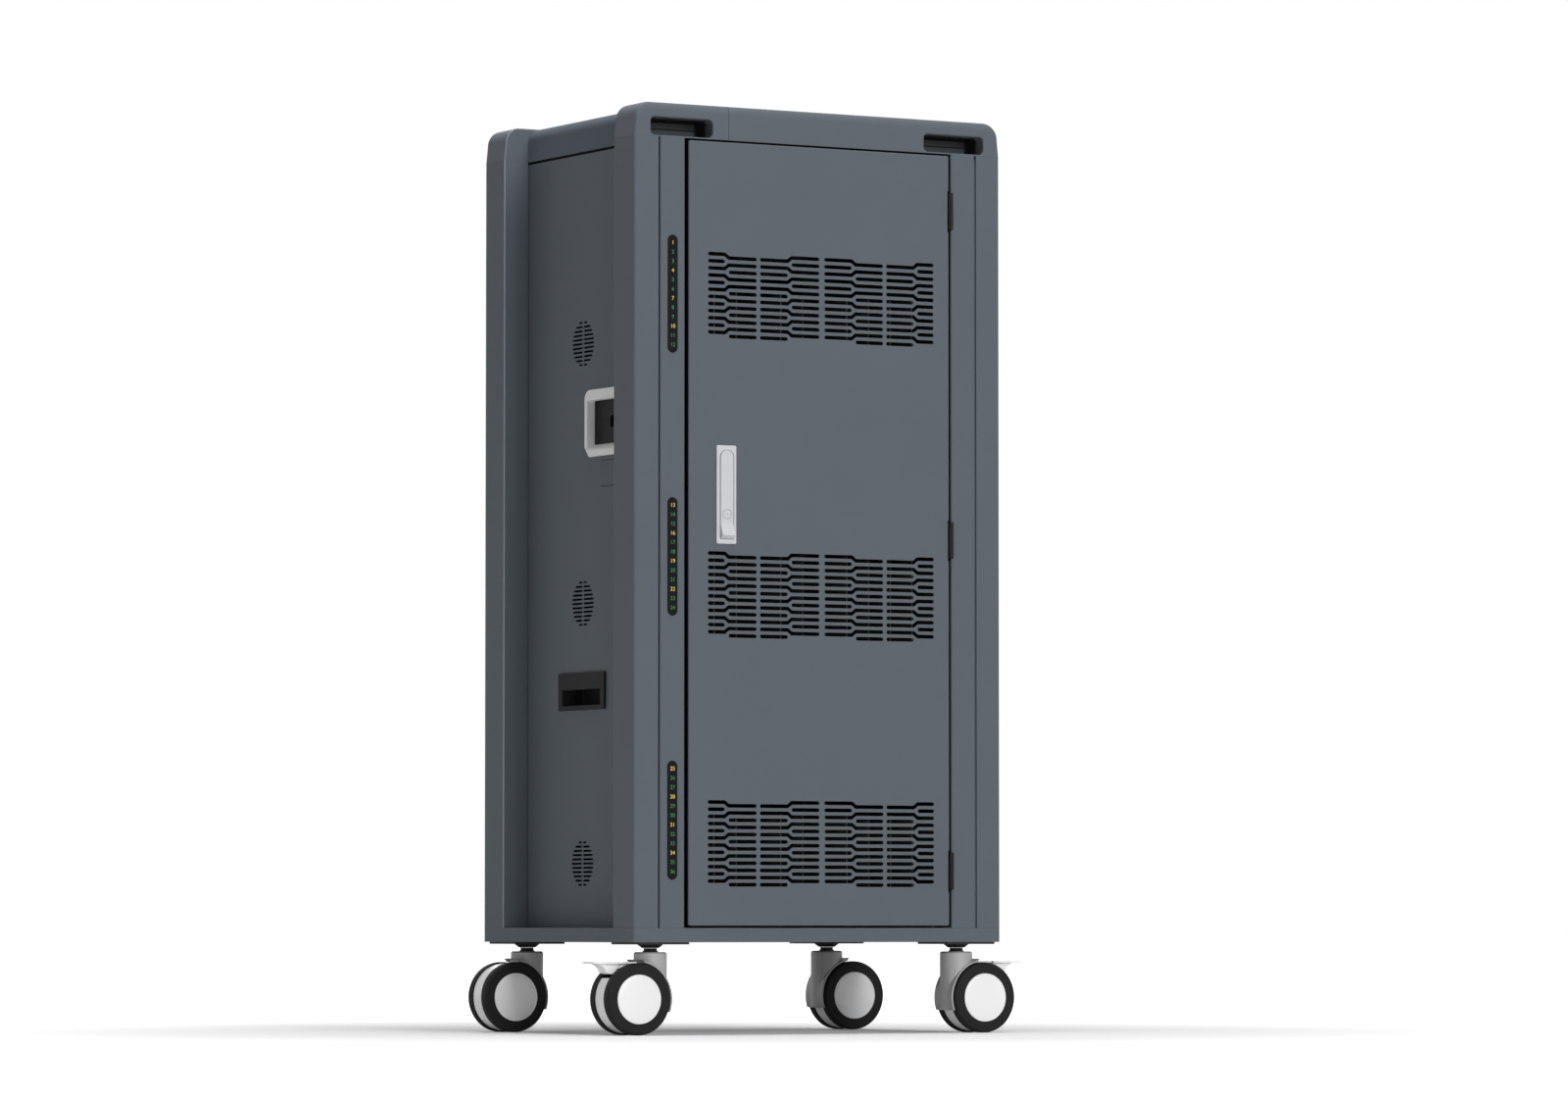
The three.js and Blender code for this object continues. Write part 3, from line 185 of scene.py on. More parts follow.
def add_shell(mesh, place, outer, holes=(), pockets=()):
    """A closed body from its outer rings, the rings of its through holes and those of its blind holes."""
    front = []
    back = []
    for rings, blind in [(outer, False)] + [(each, False) for each in holes] + [(each, True) for each in pockets]:
        loops = [(flat, [mesh.verts.new(place(u, v, depth)) for u, v in flat]) for flat, depth in rings]
        for near, far in zip(loops, loops[1:]):
            bridge(mesh, near[1], far[1])
        front.append(loops[0])
        if blind:
            fill(mesh, loops[-1:])
        else:
            back.append(loops[-1])
    fill(mesh, front)
    fill(mesh, back)


def add_lathe(mesh, place, profile, closed=False, steps=ROUND_STEPS):
    """A body turned from pairs of radius and height. A radius of zero closes an end."""
    rings = []
    for radius, height in profile:
        if radius < 1e-6:
            rings.append([mesh.verts.new(place(0, 0, height))])
            continue
        rings.append([mesh.verts.new(place(u, v, height)) for u, v in arc(0, 0, radius, 0, 2 * math.pi, steps)[:-1]])
    pairs = list(zip(rings, rings[1:]))
    if closed:
        pairs.append((rings[-1], rings[0]))
    for near, far in pairs:
        if len(near) > 1 and len(far) > 1:
            bridge(mesh, near, far)
            continue
        point, loop = (near[0], far) if len(near) == 1 else (far[0], near)
        for index in range(len(loop)):
            mesh.faces.new((loop[index], loop[(index + 1) % len(loop)], point))


def facing_front(front):
    return lambda u, v, depth: at(u, front + depth, v)


def facing_rear(rear):
    return lambda u, v, depth: at(u, rear - depth, v)


def facing_side(outside, outward):
    return lambda u, v, depth: at(outside - outward * depth, u, v)


def facing_up(top, x=0.0, y=0.0):
    return lambda u, v, depth: at(x + u, y + v, top - depth)


def along_y(x, z, middle, outward=1):
    return lambda u, v, height: at(x + u, middle + outward * height, z + v)


def settle(mesh):
    bmesh.ops.remove_doubles(mesh, verts=mesh.verts[:], dist=1e-7)
    bmesh.ops.recalc_face_normals(mesh, faces=mesh.faces[:])


def to_data(name, mesh):
    settle(mesh)
    data = bpy.data.meshes.new(name)
    mesh.to_mesh(data)
    mesh.free()
    return data


def combined(first, *steps):
    """A mesh after boolean steps. Each step is a word and the mesh that is added, cut or kept."""
    target = bpy.data.objects.new("body", to_data("body", first))
    bpy.context.scene.collection.objects.link(target)
    for word, mesh in steps:
        tool = bpy.data.objects.new("tool", to_data("tool", mesh))
        bpy.context.scene.collection.objects.link(tool)
        step = target.modifiers.new("step", "BOOLEAN")
        step.operation = word
        step.solver = "EXACT"
        step.object = tool
        graph = bpy.context.evaluated_depsgraph_get()
        result = bpy.data.meshes.new_from_object(target.evaluated_get(graph))
        target.modifiers.clear()
        target.data = result
        bpy.data.objects.remove(tool)
    mesh = bmesh.new()
    mesh.from_mesh(target.data)
    bpy.data.objects.remove(target)
    bmesh.ops.remove_doubles(mesh, verts=mesh.verts[:], dist=0.01 * MM)
    bmesh.ops.dissolve_limit(mesh, angle_limit=math.radians(0.5), verts=mesh.verts[:], edges=mesh.edges[:])
    return mesh


def piece(name, mesh, material, body, stands_for=(), bevel=0.0):
    data = to_data(name, mesh)
    for face in data.polygons:
        face.use_smooth = True
    data.set_sharp_from_angle(angle=SMOOTH_ANGLE)
    data.materials.append(material)
    made = bpy.data.objects.new(name, data)
    bpy.context.scene.collection.objects.link(made)
    if bevel:
        softer = made.modifiers.new("edges", "BEVEL")
        softer.width = bevel * MM
        softer.segments = 2
        softer.limit_method = "ANGLE"
        softer.angle_limit = SMOOTH_ANGLE
        softer.use_clamp_overlap = False
    normals = made.modifiers.new("normals", "WEIGHTED_NORMAL")
    normals.keep_sharp = True
    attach(made, body)
    if stands_for:
        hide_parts(*stands_for)
    return made


# Finishes.
def link(tree, source, target):
    tree.links.new(source, target)


def noise(tree, coordinates, scale, detail=2.0, rough=0.5):
    node = tree.nodes.new("ShaderNodeTexNoise")
    node.inputs["Scale"].default_value = scale
    node.inputs["Detail"].default_value = detail
    node.inputs["Roughness"].default_value = rough
    link(tree, coordinates, node.inputs["Vector"])
    return node.outputs["Fac"]


def spread(tree, source, low, high):
    node = tree.nodes.new("ShaderNodeMapRange")
    node.inputs["From Min"].default_value = 0.3
    node.inputs["From Max"].default_value = 0.7
    node.inputs["To Min"].default_value = low
    node.inputs["To Max"].default_value = high
    link(tree, source, node.inputs["Value"])
    return node.outputs["Result"]


def finish_of(name, colour, change, rough, grain, bump, metal=0.0, coat=0.0, broad=7.0, stretch=(1, 1, 1), specular=0.5):
    """A finish whose tint drifts broadly, whose shine varies and whose surface has a fine grain."""
    material = bpy.data.materials.new(name)
    material.use_nodes = True
    tree = material.node_tree
    shader = tree.nodes["Principled BSDF"]
    shader.inputs["Metallic"].default_value = metal
    shader.inputs["Coat Weight"].default_value = coat
    shader.inputs["Coat Roughness"].default_value = 0.25
    shader.inputs["Specular IOR Level"].default_value = specular
    where = tree.nodes.new("ShaderNodeTexCoord").outputs["Object"]
    scaled = tree.nodes.new("ShaderNodeMapping")
    scaled.inputs["Scale"].default_value = stretch
    link(tree, where, scaled.inputs["Vector"])
    drift = noise(tree, where, broad, 3.0)
    speck = noise(tree, scaled.outputs["Vector"], grain, 2.0, 0.6)
    mixed = tree.nodes.new("ShaderNodeMath")
    mixed.operation = "MULTIPLY_ADD"
    mixed.inputs[1].default_value = 0.4
    link(tree, speck, mixed.inputs[0])
    share = tree.nodes.new("ShaderNodeMath")
    share.operation = "MULTIPLY"
    share.inputs[1].default_value = 0.6
    link(tree, drift, share.inputs[0])
    link(tree, share.outputs[0], mixed.inputs[2])
    ramp = tree.nodes.new("ShaderNodeValToRGB")
    ramp.color_ramp.elements[0].position = 0.3
    ramp.color_ramp.elements[1].position = 0.7
    ramp.color_ramp.elements[0].color = [channel * (1 - change) for channel in colour] + [1]
    ramp.color_ramp.elements[1].color = [channel * (1 + change) for channel in colour] + [1]
    link(tree, mixed.outputs[0], ramp.inputs["Fac"])
    link(tree, ramp.outputs["Color"], shader.inputs["Base Color"])
    link(tree, spread(tree, speck, rough - 0.04, rough + 0.04), shader.inputs["Roughness"])
    relief = tree.nodes.new("ShaderNodeBump")
    relief.inputs["Strength"].default_value = bump
    relief.inputs["Distance"].default_value = 0.2 * MM
    link(tree, speck, relief.inputs["Height"])
    link(tree, relief.outputs["Normal"], shader.inputs["Normal"])
    return material


def lit_finish(name, colour):
    """Lit numerals behind a dark cover, a little uneven from lamp to lamp."""
    material = finish_of(name, [channel * 0.3 for channel in colour], 0.1, 0.4, 900, 0.02)
    tree = material.node_tree
    shader = tree.nodes["Principled BSDF"]
    shader.inputs["Emission Color"].default_value = colour + [1]
    where = tree.nodes["Texture Coordinate"].outputs["Object"]
    link(tree, spread(tree, noise(tree, where, 60.0), 0.75, 1.0), shader.inputs["Emission Strength"])
    return material


SLATE = finish_of("slate powder coat", (0.112, 0.130, 0.149), 0.03, 0.52, 1400, 0.05, specular=0.08)
SLATE_MOULDED = finish_of("slate moulded plastic", (0.112, 0.130, 0.149), 0.03, 0.46, 2200, 0.05, specular=0.09)
# Painted highlight: a lighter, glossier slate for rounded edges where light catches them.
SLATE_PAINTED_HIGHLIGHT = finish_of("slate coat with painted edge highlight", (0.21, 0.245, 0.26), 0.06, 0.34, 1400, 0.05, specular=0.4)
SLATE_ROOF = finish_of("slate structured coat", (0.134, 0.156, 0.179), 0.04, 0.7, 900, 0.14, specular=0.02)
SLATE_PLATE = finish_of("slate plate", (0.104, 0.121, 0.139), 0.03, 0.5, 1800, 0.04, specular=0.08)
# Slate darkened as painted shade, for the band at the foot of the grip pockets.
SLATE_PAINTED_SHADE = finish_of("slate darkened as painted shade", (0.055, 0.066, 0.075), 0.05, 0.5, 2200, 0.08, specular=0.15)
BLACK = finish_of("black moulded plastic", (0.020, 0.020, 0.020), 0.08, 0.55, 2600, 0.12, specular=0.05)
# Near-black felt and foam, also used as painted shade in gaps, grooves, outlines and behind slots.
BLACK_FOAM_AND_SHADE = finish_of("black felt and foam as painted gap shade", (0.006, 0.006, 0.006), 0.1, 0.8, 2600, 0.1, specular=0.03)
HINGE_BLACK = finish_of("black hinge steel", (0.014, 0.0135, 0.0135), 0.08, 0.5, 1800, 0.08, specular=0.1)
COVER = finish_of("dark strip cover", (0.007, 0.0075, 0.008), 0.06, 0.45, 1800, 0.01, specular=0.06)
SILVER = finish_of("silver lacquer", (0.60, 0.61, 0.63), 0.03, 0.36, 3200, 0.04, specular=0.3)
SILVER_MOULDED = finish_of("silver moulded plastic", (0.80, 0.80, 0.80), 0.03, 0.45, 2400, 0.05, specular=0.3)
SATIN = finish_of("satin cast metal", (0.40, 0.40, 0.40), 0.05, 0.45, 1500, 0.06, metal=0.1, specular=0.3)
HUB = finish_of("satin hub disc", (0.92, 0.92, 0.92), 0.02, 0.36, 900, 0.03, metal=0.05, stretch=(1, 12, 1))
# Plated steel darkened as painted shade for the caster parts in the shadow of the base; the rear screws and lock
# spindle share it.
ZINC_PAINTED_SHADE = finish_of("plated steel darkened as painted shade", (0.024, 0.024, 0.026), 0.1, 0.45, 700, 0.05, metal=0.1, specular=0.15)
RUBBER = finish_of("dark rubber", (0.015, 0.015, 0.015), 0.12, 0.62, 900, 0.2, specular=0.12)
GREY = finish_of("grey powder coat", (0.10, 0.105, 0.11), 0.04, 0.45, 1400, 0.06)
GREY_MOULDED = finish_of("grey moulded plastic", (0.07, 0.07, 0.07), 0.05, 0.5, 2200, 0.08, specular=0.2)
AMBER_LIT = lit_finish("amber numerals", [0.66, 0.50, 0.10])
GREEN_LIT = lit_finish("green numerals", [0.024, 0.17, 0.048])

# Levels and planes of the cabinet, read from the frame.
PAN_LOW, PAN_HIGH = node_box("base_pan")
POST_LOW, POST_HIGH = node_box("post_front_left")
SIDES = (("left", -1), ("right", 1))
SHEET = 1.5
OUTER_X = PAN_HIGH[0]
FRONT_Y = PAN_LOW[1]
REAR_Y = PAN_HIGH[1]
MIDDLE_Y = (FRONT_Y + REAR_Y) / 2
POST_X = -POST_HIGH[0]
CORNER = 4.0
SHEET_EDGE = 0.4


PAN_WALL = 3.0
PAN_PAD = 96.0


def facing_down(foot):
    return lambda u, v, depth: at(u, v, foot + depth)


def build_base():
    deep = PAN_HIGH[2] - PAN_LOW[2]
    outline = rectangle(-OUTER_X, OUTER_X, FRONT_Y, REAR_Y, CORNER)
    far_x, near_x = OUTER_X - PAN_WALL, OUTER_X - PAN_WALL - PAN_PAD
    far_y, near_y = (REAR_Y - FRONT_Y) / 2 - PAN_WALL, (REAR_Y - FRONT_Y) / 2 - PAN_WALL - PAN_PAD
    quarter = [(far_x, near_y), (near_x, near_y), (near_x, far_y)]
    well = quarter + [(-u, v) for u, v in quarter[::-1]]
    well = [(u, MIDDLE_Y + v) for u, v in well + [(-u, -v) for u, v in well]]
    mesh = bmesh.new()
    sunk = [(well, 0.0), (well, deep - PAN_WALL)]
    add_shell(mesh, facing_down(PAN_LOW[2]), rim(outline, deep, SHEET_EDGE), (), [sunk])
    piece("base_tray", mesh, SLATE, "cabinet", ("base_pan",))


POST_RETURN = 2.0


def wear(made, outward, ahead):
    """Paints a highlight on the rounded edge faces that look outward and along the cart: a lighter, glossier slate that
    stands in for light caught by the edge.
    """
    made.data.materials.append(SLATE_PAINTED_HIGHLIGHT)
    for face in made.data.polygons:
        if face.normal.x * outward > 0.35 and face.normal.y * ahead > 0.35:
            face.material_index = 1


def build_posts():
    for side, outward in SIDES:
        for row, ahead in (("front", -1), ("rear", 1)):
            low, high = node_box(f"post_{row}_{side}")
            turns = ((-1, -1), (1, -1), (1, 1), (-1, 1))
            kinds = {(outward, ahead): CORNER, (outward, -ahead): POST_RETURN}
            radii = tuple(kinds.get(turn, 1.0) for turn in turns)
            outline = rectangle(low[0], high[0], low[1], high[1], radii)
            inside = rectangle(low[0] + SHEET, high[0] - SHEET, low[1] + SHEET, high[1] - SHEET, 1.0)
            mesh = bmesh.new()
            tall = high[2] - low[2]
            add_shell(mesh, facing_up(high[2]), rim(outline, tall, SHEET_EDGE), [hole(inside, tall, SHEET_EDGE)])
            made = piece(f"post_{row}_{side}_tube", mesh, SLATE, "cabinet", (f"post_{row}_{side}",))
            # Painted highlight on the post's outer rounded edge.
            wear(made, outward, -ahead)


# The headers: end bands whose outline narrows to the top and whose long edges are rounded.
HEADER_KNEE = 25.0
HEADER_TAPER = 2.5
HEADER_CORNER = 22.0
OUTER_EDGE = (13.0, 6.0)
INNER_EDGE = (3.0, 3.0)
GRIP_MOUTH = 2.0
GRIP_CORNER = 6.5
GRIP_LINER = 20.0
GRIP_FLOOR = 5.0
GRIP_PAD_FOOT = 14.2
GRIP_PAD_GAP = 1.4
GRIP_PAD_THICK = 1.2


def header_outline(foot, top):
    """Points from the left foot over the top to the right foot, each with its inward way and share of the top."""
    shoulder = OUTER_X - HEADER_TAPER
    half = [((OUTER_X, foot), (-1, 0), 0.0), ((shoulder, foot + HEADER_KNEE), (-1, 0), 0.0)]
    for step in range(13):
        angle = QUARTER * step / 12
        share = step / 12
        ease = share * share * (3 - 2 * share)
        point = (shoulder - HEADER_CORNER * (1 - math.cos(angle)), top - HEADER_CORNER * (1 - math.sin(angle)))
        way = (-math.cos(angle), -math.sin(angle))
        half.append((point, way, ease))
    left = [((-u, v), (-du, dv), share) for (u, v), (du, dv), share in half]
    return left + half[::-1]


def header_rings(samples, deep):
    """Rings from the outer face to the inner one, whose rounded edges grow from the sides to the top."""
    rings = []
    steps = 8
    for side_edge, (top_drop, top_sink) in ((CORNER, OUTER_EDGE), (POST_RETURN, INNER_EDGE)):
        outer = side_edge == CORNER
        for step in range(steps + 1):
            angle = QUARTER * step / steps
            inset, sink = 1 - math.sin(angle), 1 - math.cos(angle)
            if not outer:
                inset, sink = sink, inset
            points = []
            depths = []
            for (u, v), (du, dv), share in samples:
                drop = inset * (side_edge + (top_drop - side_edge) * share)
                depth = sink * (side_edge + (top_sink - side_edge) * share)
                points.append((u + du * drop, v + dv * drop))
                depths.append(depth if outer else deep - depth)
            rings.append((points, depths))
    return rings


def add_header(mesh, place, samples, deep, pockets):
    loops = []
    for points, depths in header_rings(samples, deep):
        loops.append((points, [mesh.verts.new(place(u, v, d)) for (u, v), d in zip(points, depths)]))
    for near, far in zip(loops, loops[1:]):
        bridge(mesh, near[1], far[1])
    fronts = [loops[0]]
    for rings in pockets:
        sunk = [(flat, [mesh.verts.new(place(u, v, depth)) for u, v in flat]) for flat, depth in rings]
        for near, far in zip(sunk, sunk[1:]):
            bridge(mesh, near[1], far[1])
        fill(mesh, sunk[-1:])
        fronts.append(sunk[0])
    fill(mesh, fronts)
    fill(mesh, loops[-1:])


def keep_side(mesh, x, keep):
    """Cuts a mesh at an upright plane, keeps one side and closes the cut."""
    everything = mesh.verts[:] + mesh.edges[:] + mesh.faces[:]
    way = (-keep, 0, 0)
    cut = bmesh.ops.bisect_plane(mesh, geom=everything, plane_co=at(x, 0, 0), plane_no=way, clear_outer=True)
    edges = [part for part in cut["geom_cut"] if isinstance(part, bmesh.types.BMEdge)]
    bmesh.ops.contextual_create(mesh, geom=edges)


def build_headers():
    low, high = node_box("header_left")
    seam = high[0]
    top = high[2]
    deep = high[1] - low[1]
    samples = header_outline(low[2], top)
    grips = []
    for side, outward in SIDES:
        grip = GRIPS[side]
        grips.append((side, rectangle(*grip[:4], GRIP_CORNER), grip[4]))
    for side, keep, cut_x in (("left", -1, seam), ("right", 1, node_box("header_right")[0][0])):
        mesh = bmesh.new()
        pockets = [pocket(outline, depth, GRIP_MOUTH, GRIP_FLOOR) for name, outline, depth in grips if name == side]
        add_header(mesh, facing_front(low[1]), samples, deep, pockets)
        settle(mesh)
        keep_side(mesh, cut_x, keep)
        made = piece(f"front_header_{side}", mesh, SLATE_MOULDED, "cabinet", (f"header_{side}",))
        # Painted highlight on the header's rounded end edge.
        wear(made, keep, 1)
    for side, outline, depth in grips:
        mesh = bmesh.new()
        sleeve = [(outline(-0.2), 0.0), (outline(-0.2), depth - GRIP_LINER - GRIP_FLOOR)]
        sleeve += back_edge(lambda grow=0.0: outline(grow - 0.2), GRIP_FLOOR, 1, depth - GRIP_LINER - 0.3)
        room = pocket(lambda grow=0.0: outline(grow - 1.4), depth - GRIP_LINER - 1.5, 0.4, GRIP_FLOOR - 1.2)
        add_shell(mesh, facing_front(low[1] + GRIP_LINER), sleeve, (), [room])
        piece(f"grip_liner_{side}", mesh, BLACK, "cabinet")
        near, far, foot, head = GRIPS[side][:4]
        back = low[1] + depth - 1.5
        inset = GRIP_FLOOR
        # The band under the pad is painted shade: a darkened slate low in the pocket.
        for word, v0, v1, finish in (("pad", GRIP_PAD_FOOT, head - foot - 3.0, GREY_MOULDED),
                                     ("band", 3.0, GRIP_PAD_FOOT - GRIP_PAD_GAP, SLATE_PAINTED_SHADE)):
            mesh = bmesh.new()
            shape = rectangle(near + inset, far - inset, foot + v0, foot + v1, 1.5)
            add_shell(mesh, facing_front(back - GRIP_PAD_THICK), rim(shape, GRIP_PAD_THICK, 0.5))
            piece(f"grip_{word}_{side}", mesh, finish, "cabinet")
    low, high = node_box("header_rear")
    mesh = bmesh.new()
    add_header(mesh, facing_rear(high[1]), samples, high[1] - low[1], [])
    made = piece("rear_header", mesh, SLATE_MOULDED, "cabinet", ("header_rear",))
    # Painted highlights on both rounded end edges of the rear header.
    wear(made, -1, -1)
    wear(made, 1, -1)


ROOF_SHOULDER = 18.0


def build_roof():
    low, high = node_box("roof_panel")
    half = SHEET / 2
    bend = ROOF_SHOULDER - half
    right = [(high[0] - half, low[2] + half)]
    right += arc(high[0] - ROOF_SHOULDER, high[2] - ROOF_SHOULDER, bend, 0, QUARTER, 16)
    path = right + [(-u, v) for u, v in right[::-1]]
    mesh = bmesh.new()
    add_shell(mesh, facing_front(low[1]), rim(slot(path, SHEET), high[1] - low[1], SHEET_EDGE))
    piece("roof_skin", mesh, SLATE_ROOF, "cabinet", ("roof_panel",))


# The stiles: channels beside the door. The left one has a window for each indicator strip.
STILE_BEND = 1.6


def channel(low, high):
    half = SHEET / 2
    near, far = low[0] + half, high[0] - half
    front, rear = low[1] + half, high[1] - half
    bends = arc(far - STILE_BEND, front + STILE_BEND, STILE_BEND, 0, -QUARTER, 5)
    bends += arc(near + STILE_BEND, front + STILE_BEND, STILE_BEND, -QUARTER, -QUARTER, 5)
    return [(far, rear)] + bends + [(near, rear)]


def build_stiles():
    for side, outward in SIDES:
        low, high = node_box(f"stile_{side}")
        mesh = bmesh.new()
        tall = high[2] - low[2]
        add_shell(mesh, facing_up(high[2]), rim(slot(channel(low, high), SHEET, 4), tall, SHEET_EDGE))
        if side == "left":
            cuts = []
            for tier in (1, 2, 3):
                start, end = node_box(f"indicator_strip_tier_{tier}")
                window = bmesh.new()
                u, v = (start[0] + end[0]) / 2, (start[2] + end[2]) / 2
                shape = stadium(u, v, end[0] - start[0] + 0.5, end[2] - start[2] + 0.5, 12)
                add_shell(window, facing_front(low[1] - 5), [(shape(), 0), (shape(), 12)])
                cuts.append(("DIFFERENCE", window))
            mesh = combined(mesh, *cuts)
        piece(f"stile_{side}_channel", mesh, SLATE, "cabinet", (f"stile_{side}",))


# Indicator strips with their lit numerals.
NUMERAL_PITCH = 13.0
NUMERAL_FIRST = 11.0
NUMERAL_SIZE = 7.9


def numeral_mesh(number, x, y, z):
    text = bpy.data.curves.new("numeral", "FONT")
    text.body = str(number)
    text.size = NUMERAL_SIZE * MM
    text.align_x = "CENTER"
    text.align_y = "CENTER"
    text.extrude = 0.06 * MM
    text.resolution_u = 3
    holder = bpy.data.objects.new("numeral", text)
    bpy.context.scene.collection.objects.link(holder)
    graph = bpy.context.evaluated_depsgraph_get()
    flat = bpy.data.meshes.new_from_object(holder.evaluated_get(graph))
    bpy.data.objects.remove(holder)
    for vertex in flat.vertices:
        u, v, d = vertex.co
        vertex.co = (x * MM + u, y * MM - d, z * MM + v)
    return flat


def build_strips():
    for tier, first in ((1, 25), (2, 13), (3, 1)):
        low, high = node_box(f"indicator_strip_tier_{tier}")
        mesh = bmesh.new()
        middle = (low[0] + high[0]) / 2
        shape = stadium(middle, (low[2] + high[2]) / 2, high[0] - low[0], high[2] - low[2], 16)
        add_shell(mesh, facing_front(low[1]), rim(shape, high[1] - low[1], 0.7))
        name = f"indicator_strip_tier_{tier}"
        piece(f"{name}_cover", mesh, COVER, "cabinet", (name,))
        lots = {"amber": bmesh.new(), "green": bmesh.new()}
        for step in range(12):
            flat = numeral_mesh(first + step, middle, low[1], high[2] - NUMERAL_FIRST - NUMERAL_PITCH * step)
            lots["green" if step % 3 else "amber"].from_mesh(flat)
        for colour, finish in (("amber", AMBER_LIT), ("green", GREEN_LIT)):
            piece(f"{name}_{colour}_numerals", lots[colour], finish, "cabinet")


# Side panels: three round vents of upright rows of slots, the lifting cup and, at the left, the inlet recess.
SIDE_VENT_MIDDLES = (239.8, 608.0, 977.2)
SIDE_VENT_AHEAD = 2.4
SIDE_VENT_RADIUS = 32.3
SIDE_VENT_ROWS = 11
SIDE_VENT_PITCH = 6.0
SIDE_VENT_SLOT = 2.9
SIDE_VENT_RIB = 3.7
SIDE_VENT_CORNER = 0.8
PANEL_GROOVE = 2.0
PANEL_GROOVE_DEEP = 1.0


def side_vents(middle_y):
    slots = []
    for middle in SIDE_VENT_MIDDLES:
        for row in range(SIDE_VENT_ROWS):
            rise = (row - (SIDE_VENT_ROWS - 1) / 2) * SIDE_VENT_PITCH
            reach = math.sqrt(SIDE_VENT_RADIUS ** 2 - rise ** 2)
            low, high = middle + rise - SIDE_VENT_SLOT / 2, middle + rise + SIDE_VENT_SLOT / 2
            near = SIDE_VENT_RIB / 2
            slots.append(rectangle(middle_y - reach, middle_y - near, low, high, SIDE_VENT_CORNER, 3))
            slots.append(rectangle(middle_y + near, middle_y + reach, low, high, SIDE_VENT_CORNER, 3))
    return slots


def build_side_panels():
    for side, outward in SIDES:
        low, high = node_box(f"side_panel_{side}")
        mesh = bmesh.new()
        outline = rectangle(low[1], high[1], low[2], high[2], 1.0)
        holes = [hole(shape, SHEET, 0.2) for shape in side_vents(MIDDLE_Y - SIDE_VENT_AHEAD)]
        start, end = node_box(f"lift_handle_{side}")
        edge_y, edge_z = LIFT_RIM_Y - 0.3, LIFT_RIM_Z - 0.3
        cup = rectangle(start[1] + edge_y, end[1] - edge_y, start[2] + edge_z, end[2] - edge_z, 3.0)
        holes.append(hole(cup, SHEET, 0.3))
        if side == "left":
            start, end = node_box("side_bezel")
            holes.append(hole(rectangle(start[1] + 4.5, end[1] - 4.5, start[2] + 4.5, end[2] - 6, 3.0), SHEET, 0.3))
        grooves = []
        for row, ahead in (("front", 1), ("rear", -1)):
            post_low, post_high = node_box(f"post_{row}_{side}")
            edge = post_high[1] if ahead > 0 else post_low[1]
            ends = sorted((edge - ahead * 0.6, edge + ahead * PANEL_GROOVE))
            line = rectangle(ends[0], ends[1], low[2] + 1.5, high[2] - 1.5, 0.5, 3)
            grooves.append(pocket(line, PANEL_GROOVE_DEEP, 0.1, 0.1))
        add_shell(mesh, facing_side(outward * POST_X, outward), rim(outline, SHEET, SHEET_EDGE), holes, grooves)
        piece(f"side_sheet_{side}", mesh, SLATE, "cabinet", (f"side_panel_{side}",))


# A blank plate under the inlet, on a black underlay whose margin round its edge is a painted shadow line.
BLANK_Y = (-130.0, -48.0)
BLANK_Z = (772.0, 808.0)
BLANK_THICK = 1.0
BLANK_MARGIN = 0.7
SEAL = 0.3


def build_blank_plate():
    mesh = bmesh.new()
    outline = rectangle(*BLANK_Y, *BLANK_Z, 2.0)
    add_shell(mesh, facing_side(-POST_X - BLANK_THICK, -1), rim(outline, BLANK_THICK, 0.3))
    piece("blank_plate", mesh, SLATE_PLATE, "cabinet")
    # Black underlay: its thin margin round the plate paints the shadow line of the plate's edge.
    mesh = bmesh.new()
    under = rectangle(BLANK_Y[0] - BLANK_MARGIN, BLANK_Y[1] + BLANK_MARGIN, BLANK_Z[0] - BLANK_MARGIN, BLANK_Z[1] + BLANK_MARGIN, 2.5)
    add_shell(mesh, facing_side(-POST_X - SEAL, -1), rim(under, SEAL - 0.02, 0.1))
    piece("blank_plate_shadow_underlay", mesh, BLACK_FOAM_AND_SHADE, "cabinet")


# Seals: near-black foam strips in the gaps round the door, over the side panels and beside the rear posts; they stand
# as painted shade in those gaps.
DOOR_SEAL_FRONT = 2.4
HEAD_SEAL_DEEP = 27.0
PANEL_SEAL = 8.0


def add_bar(name, mesh, finish=None):
    piece(name, mesh, finish or BLACK_FOAM_AND_SHADE, "cabinet")


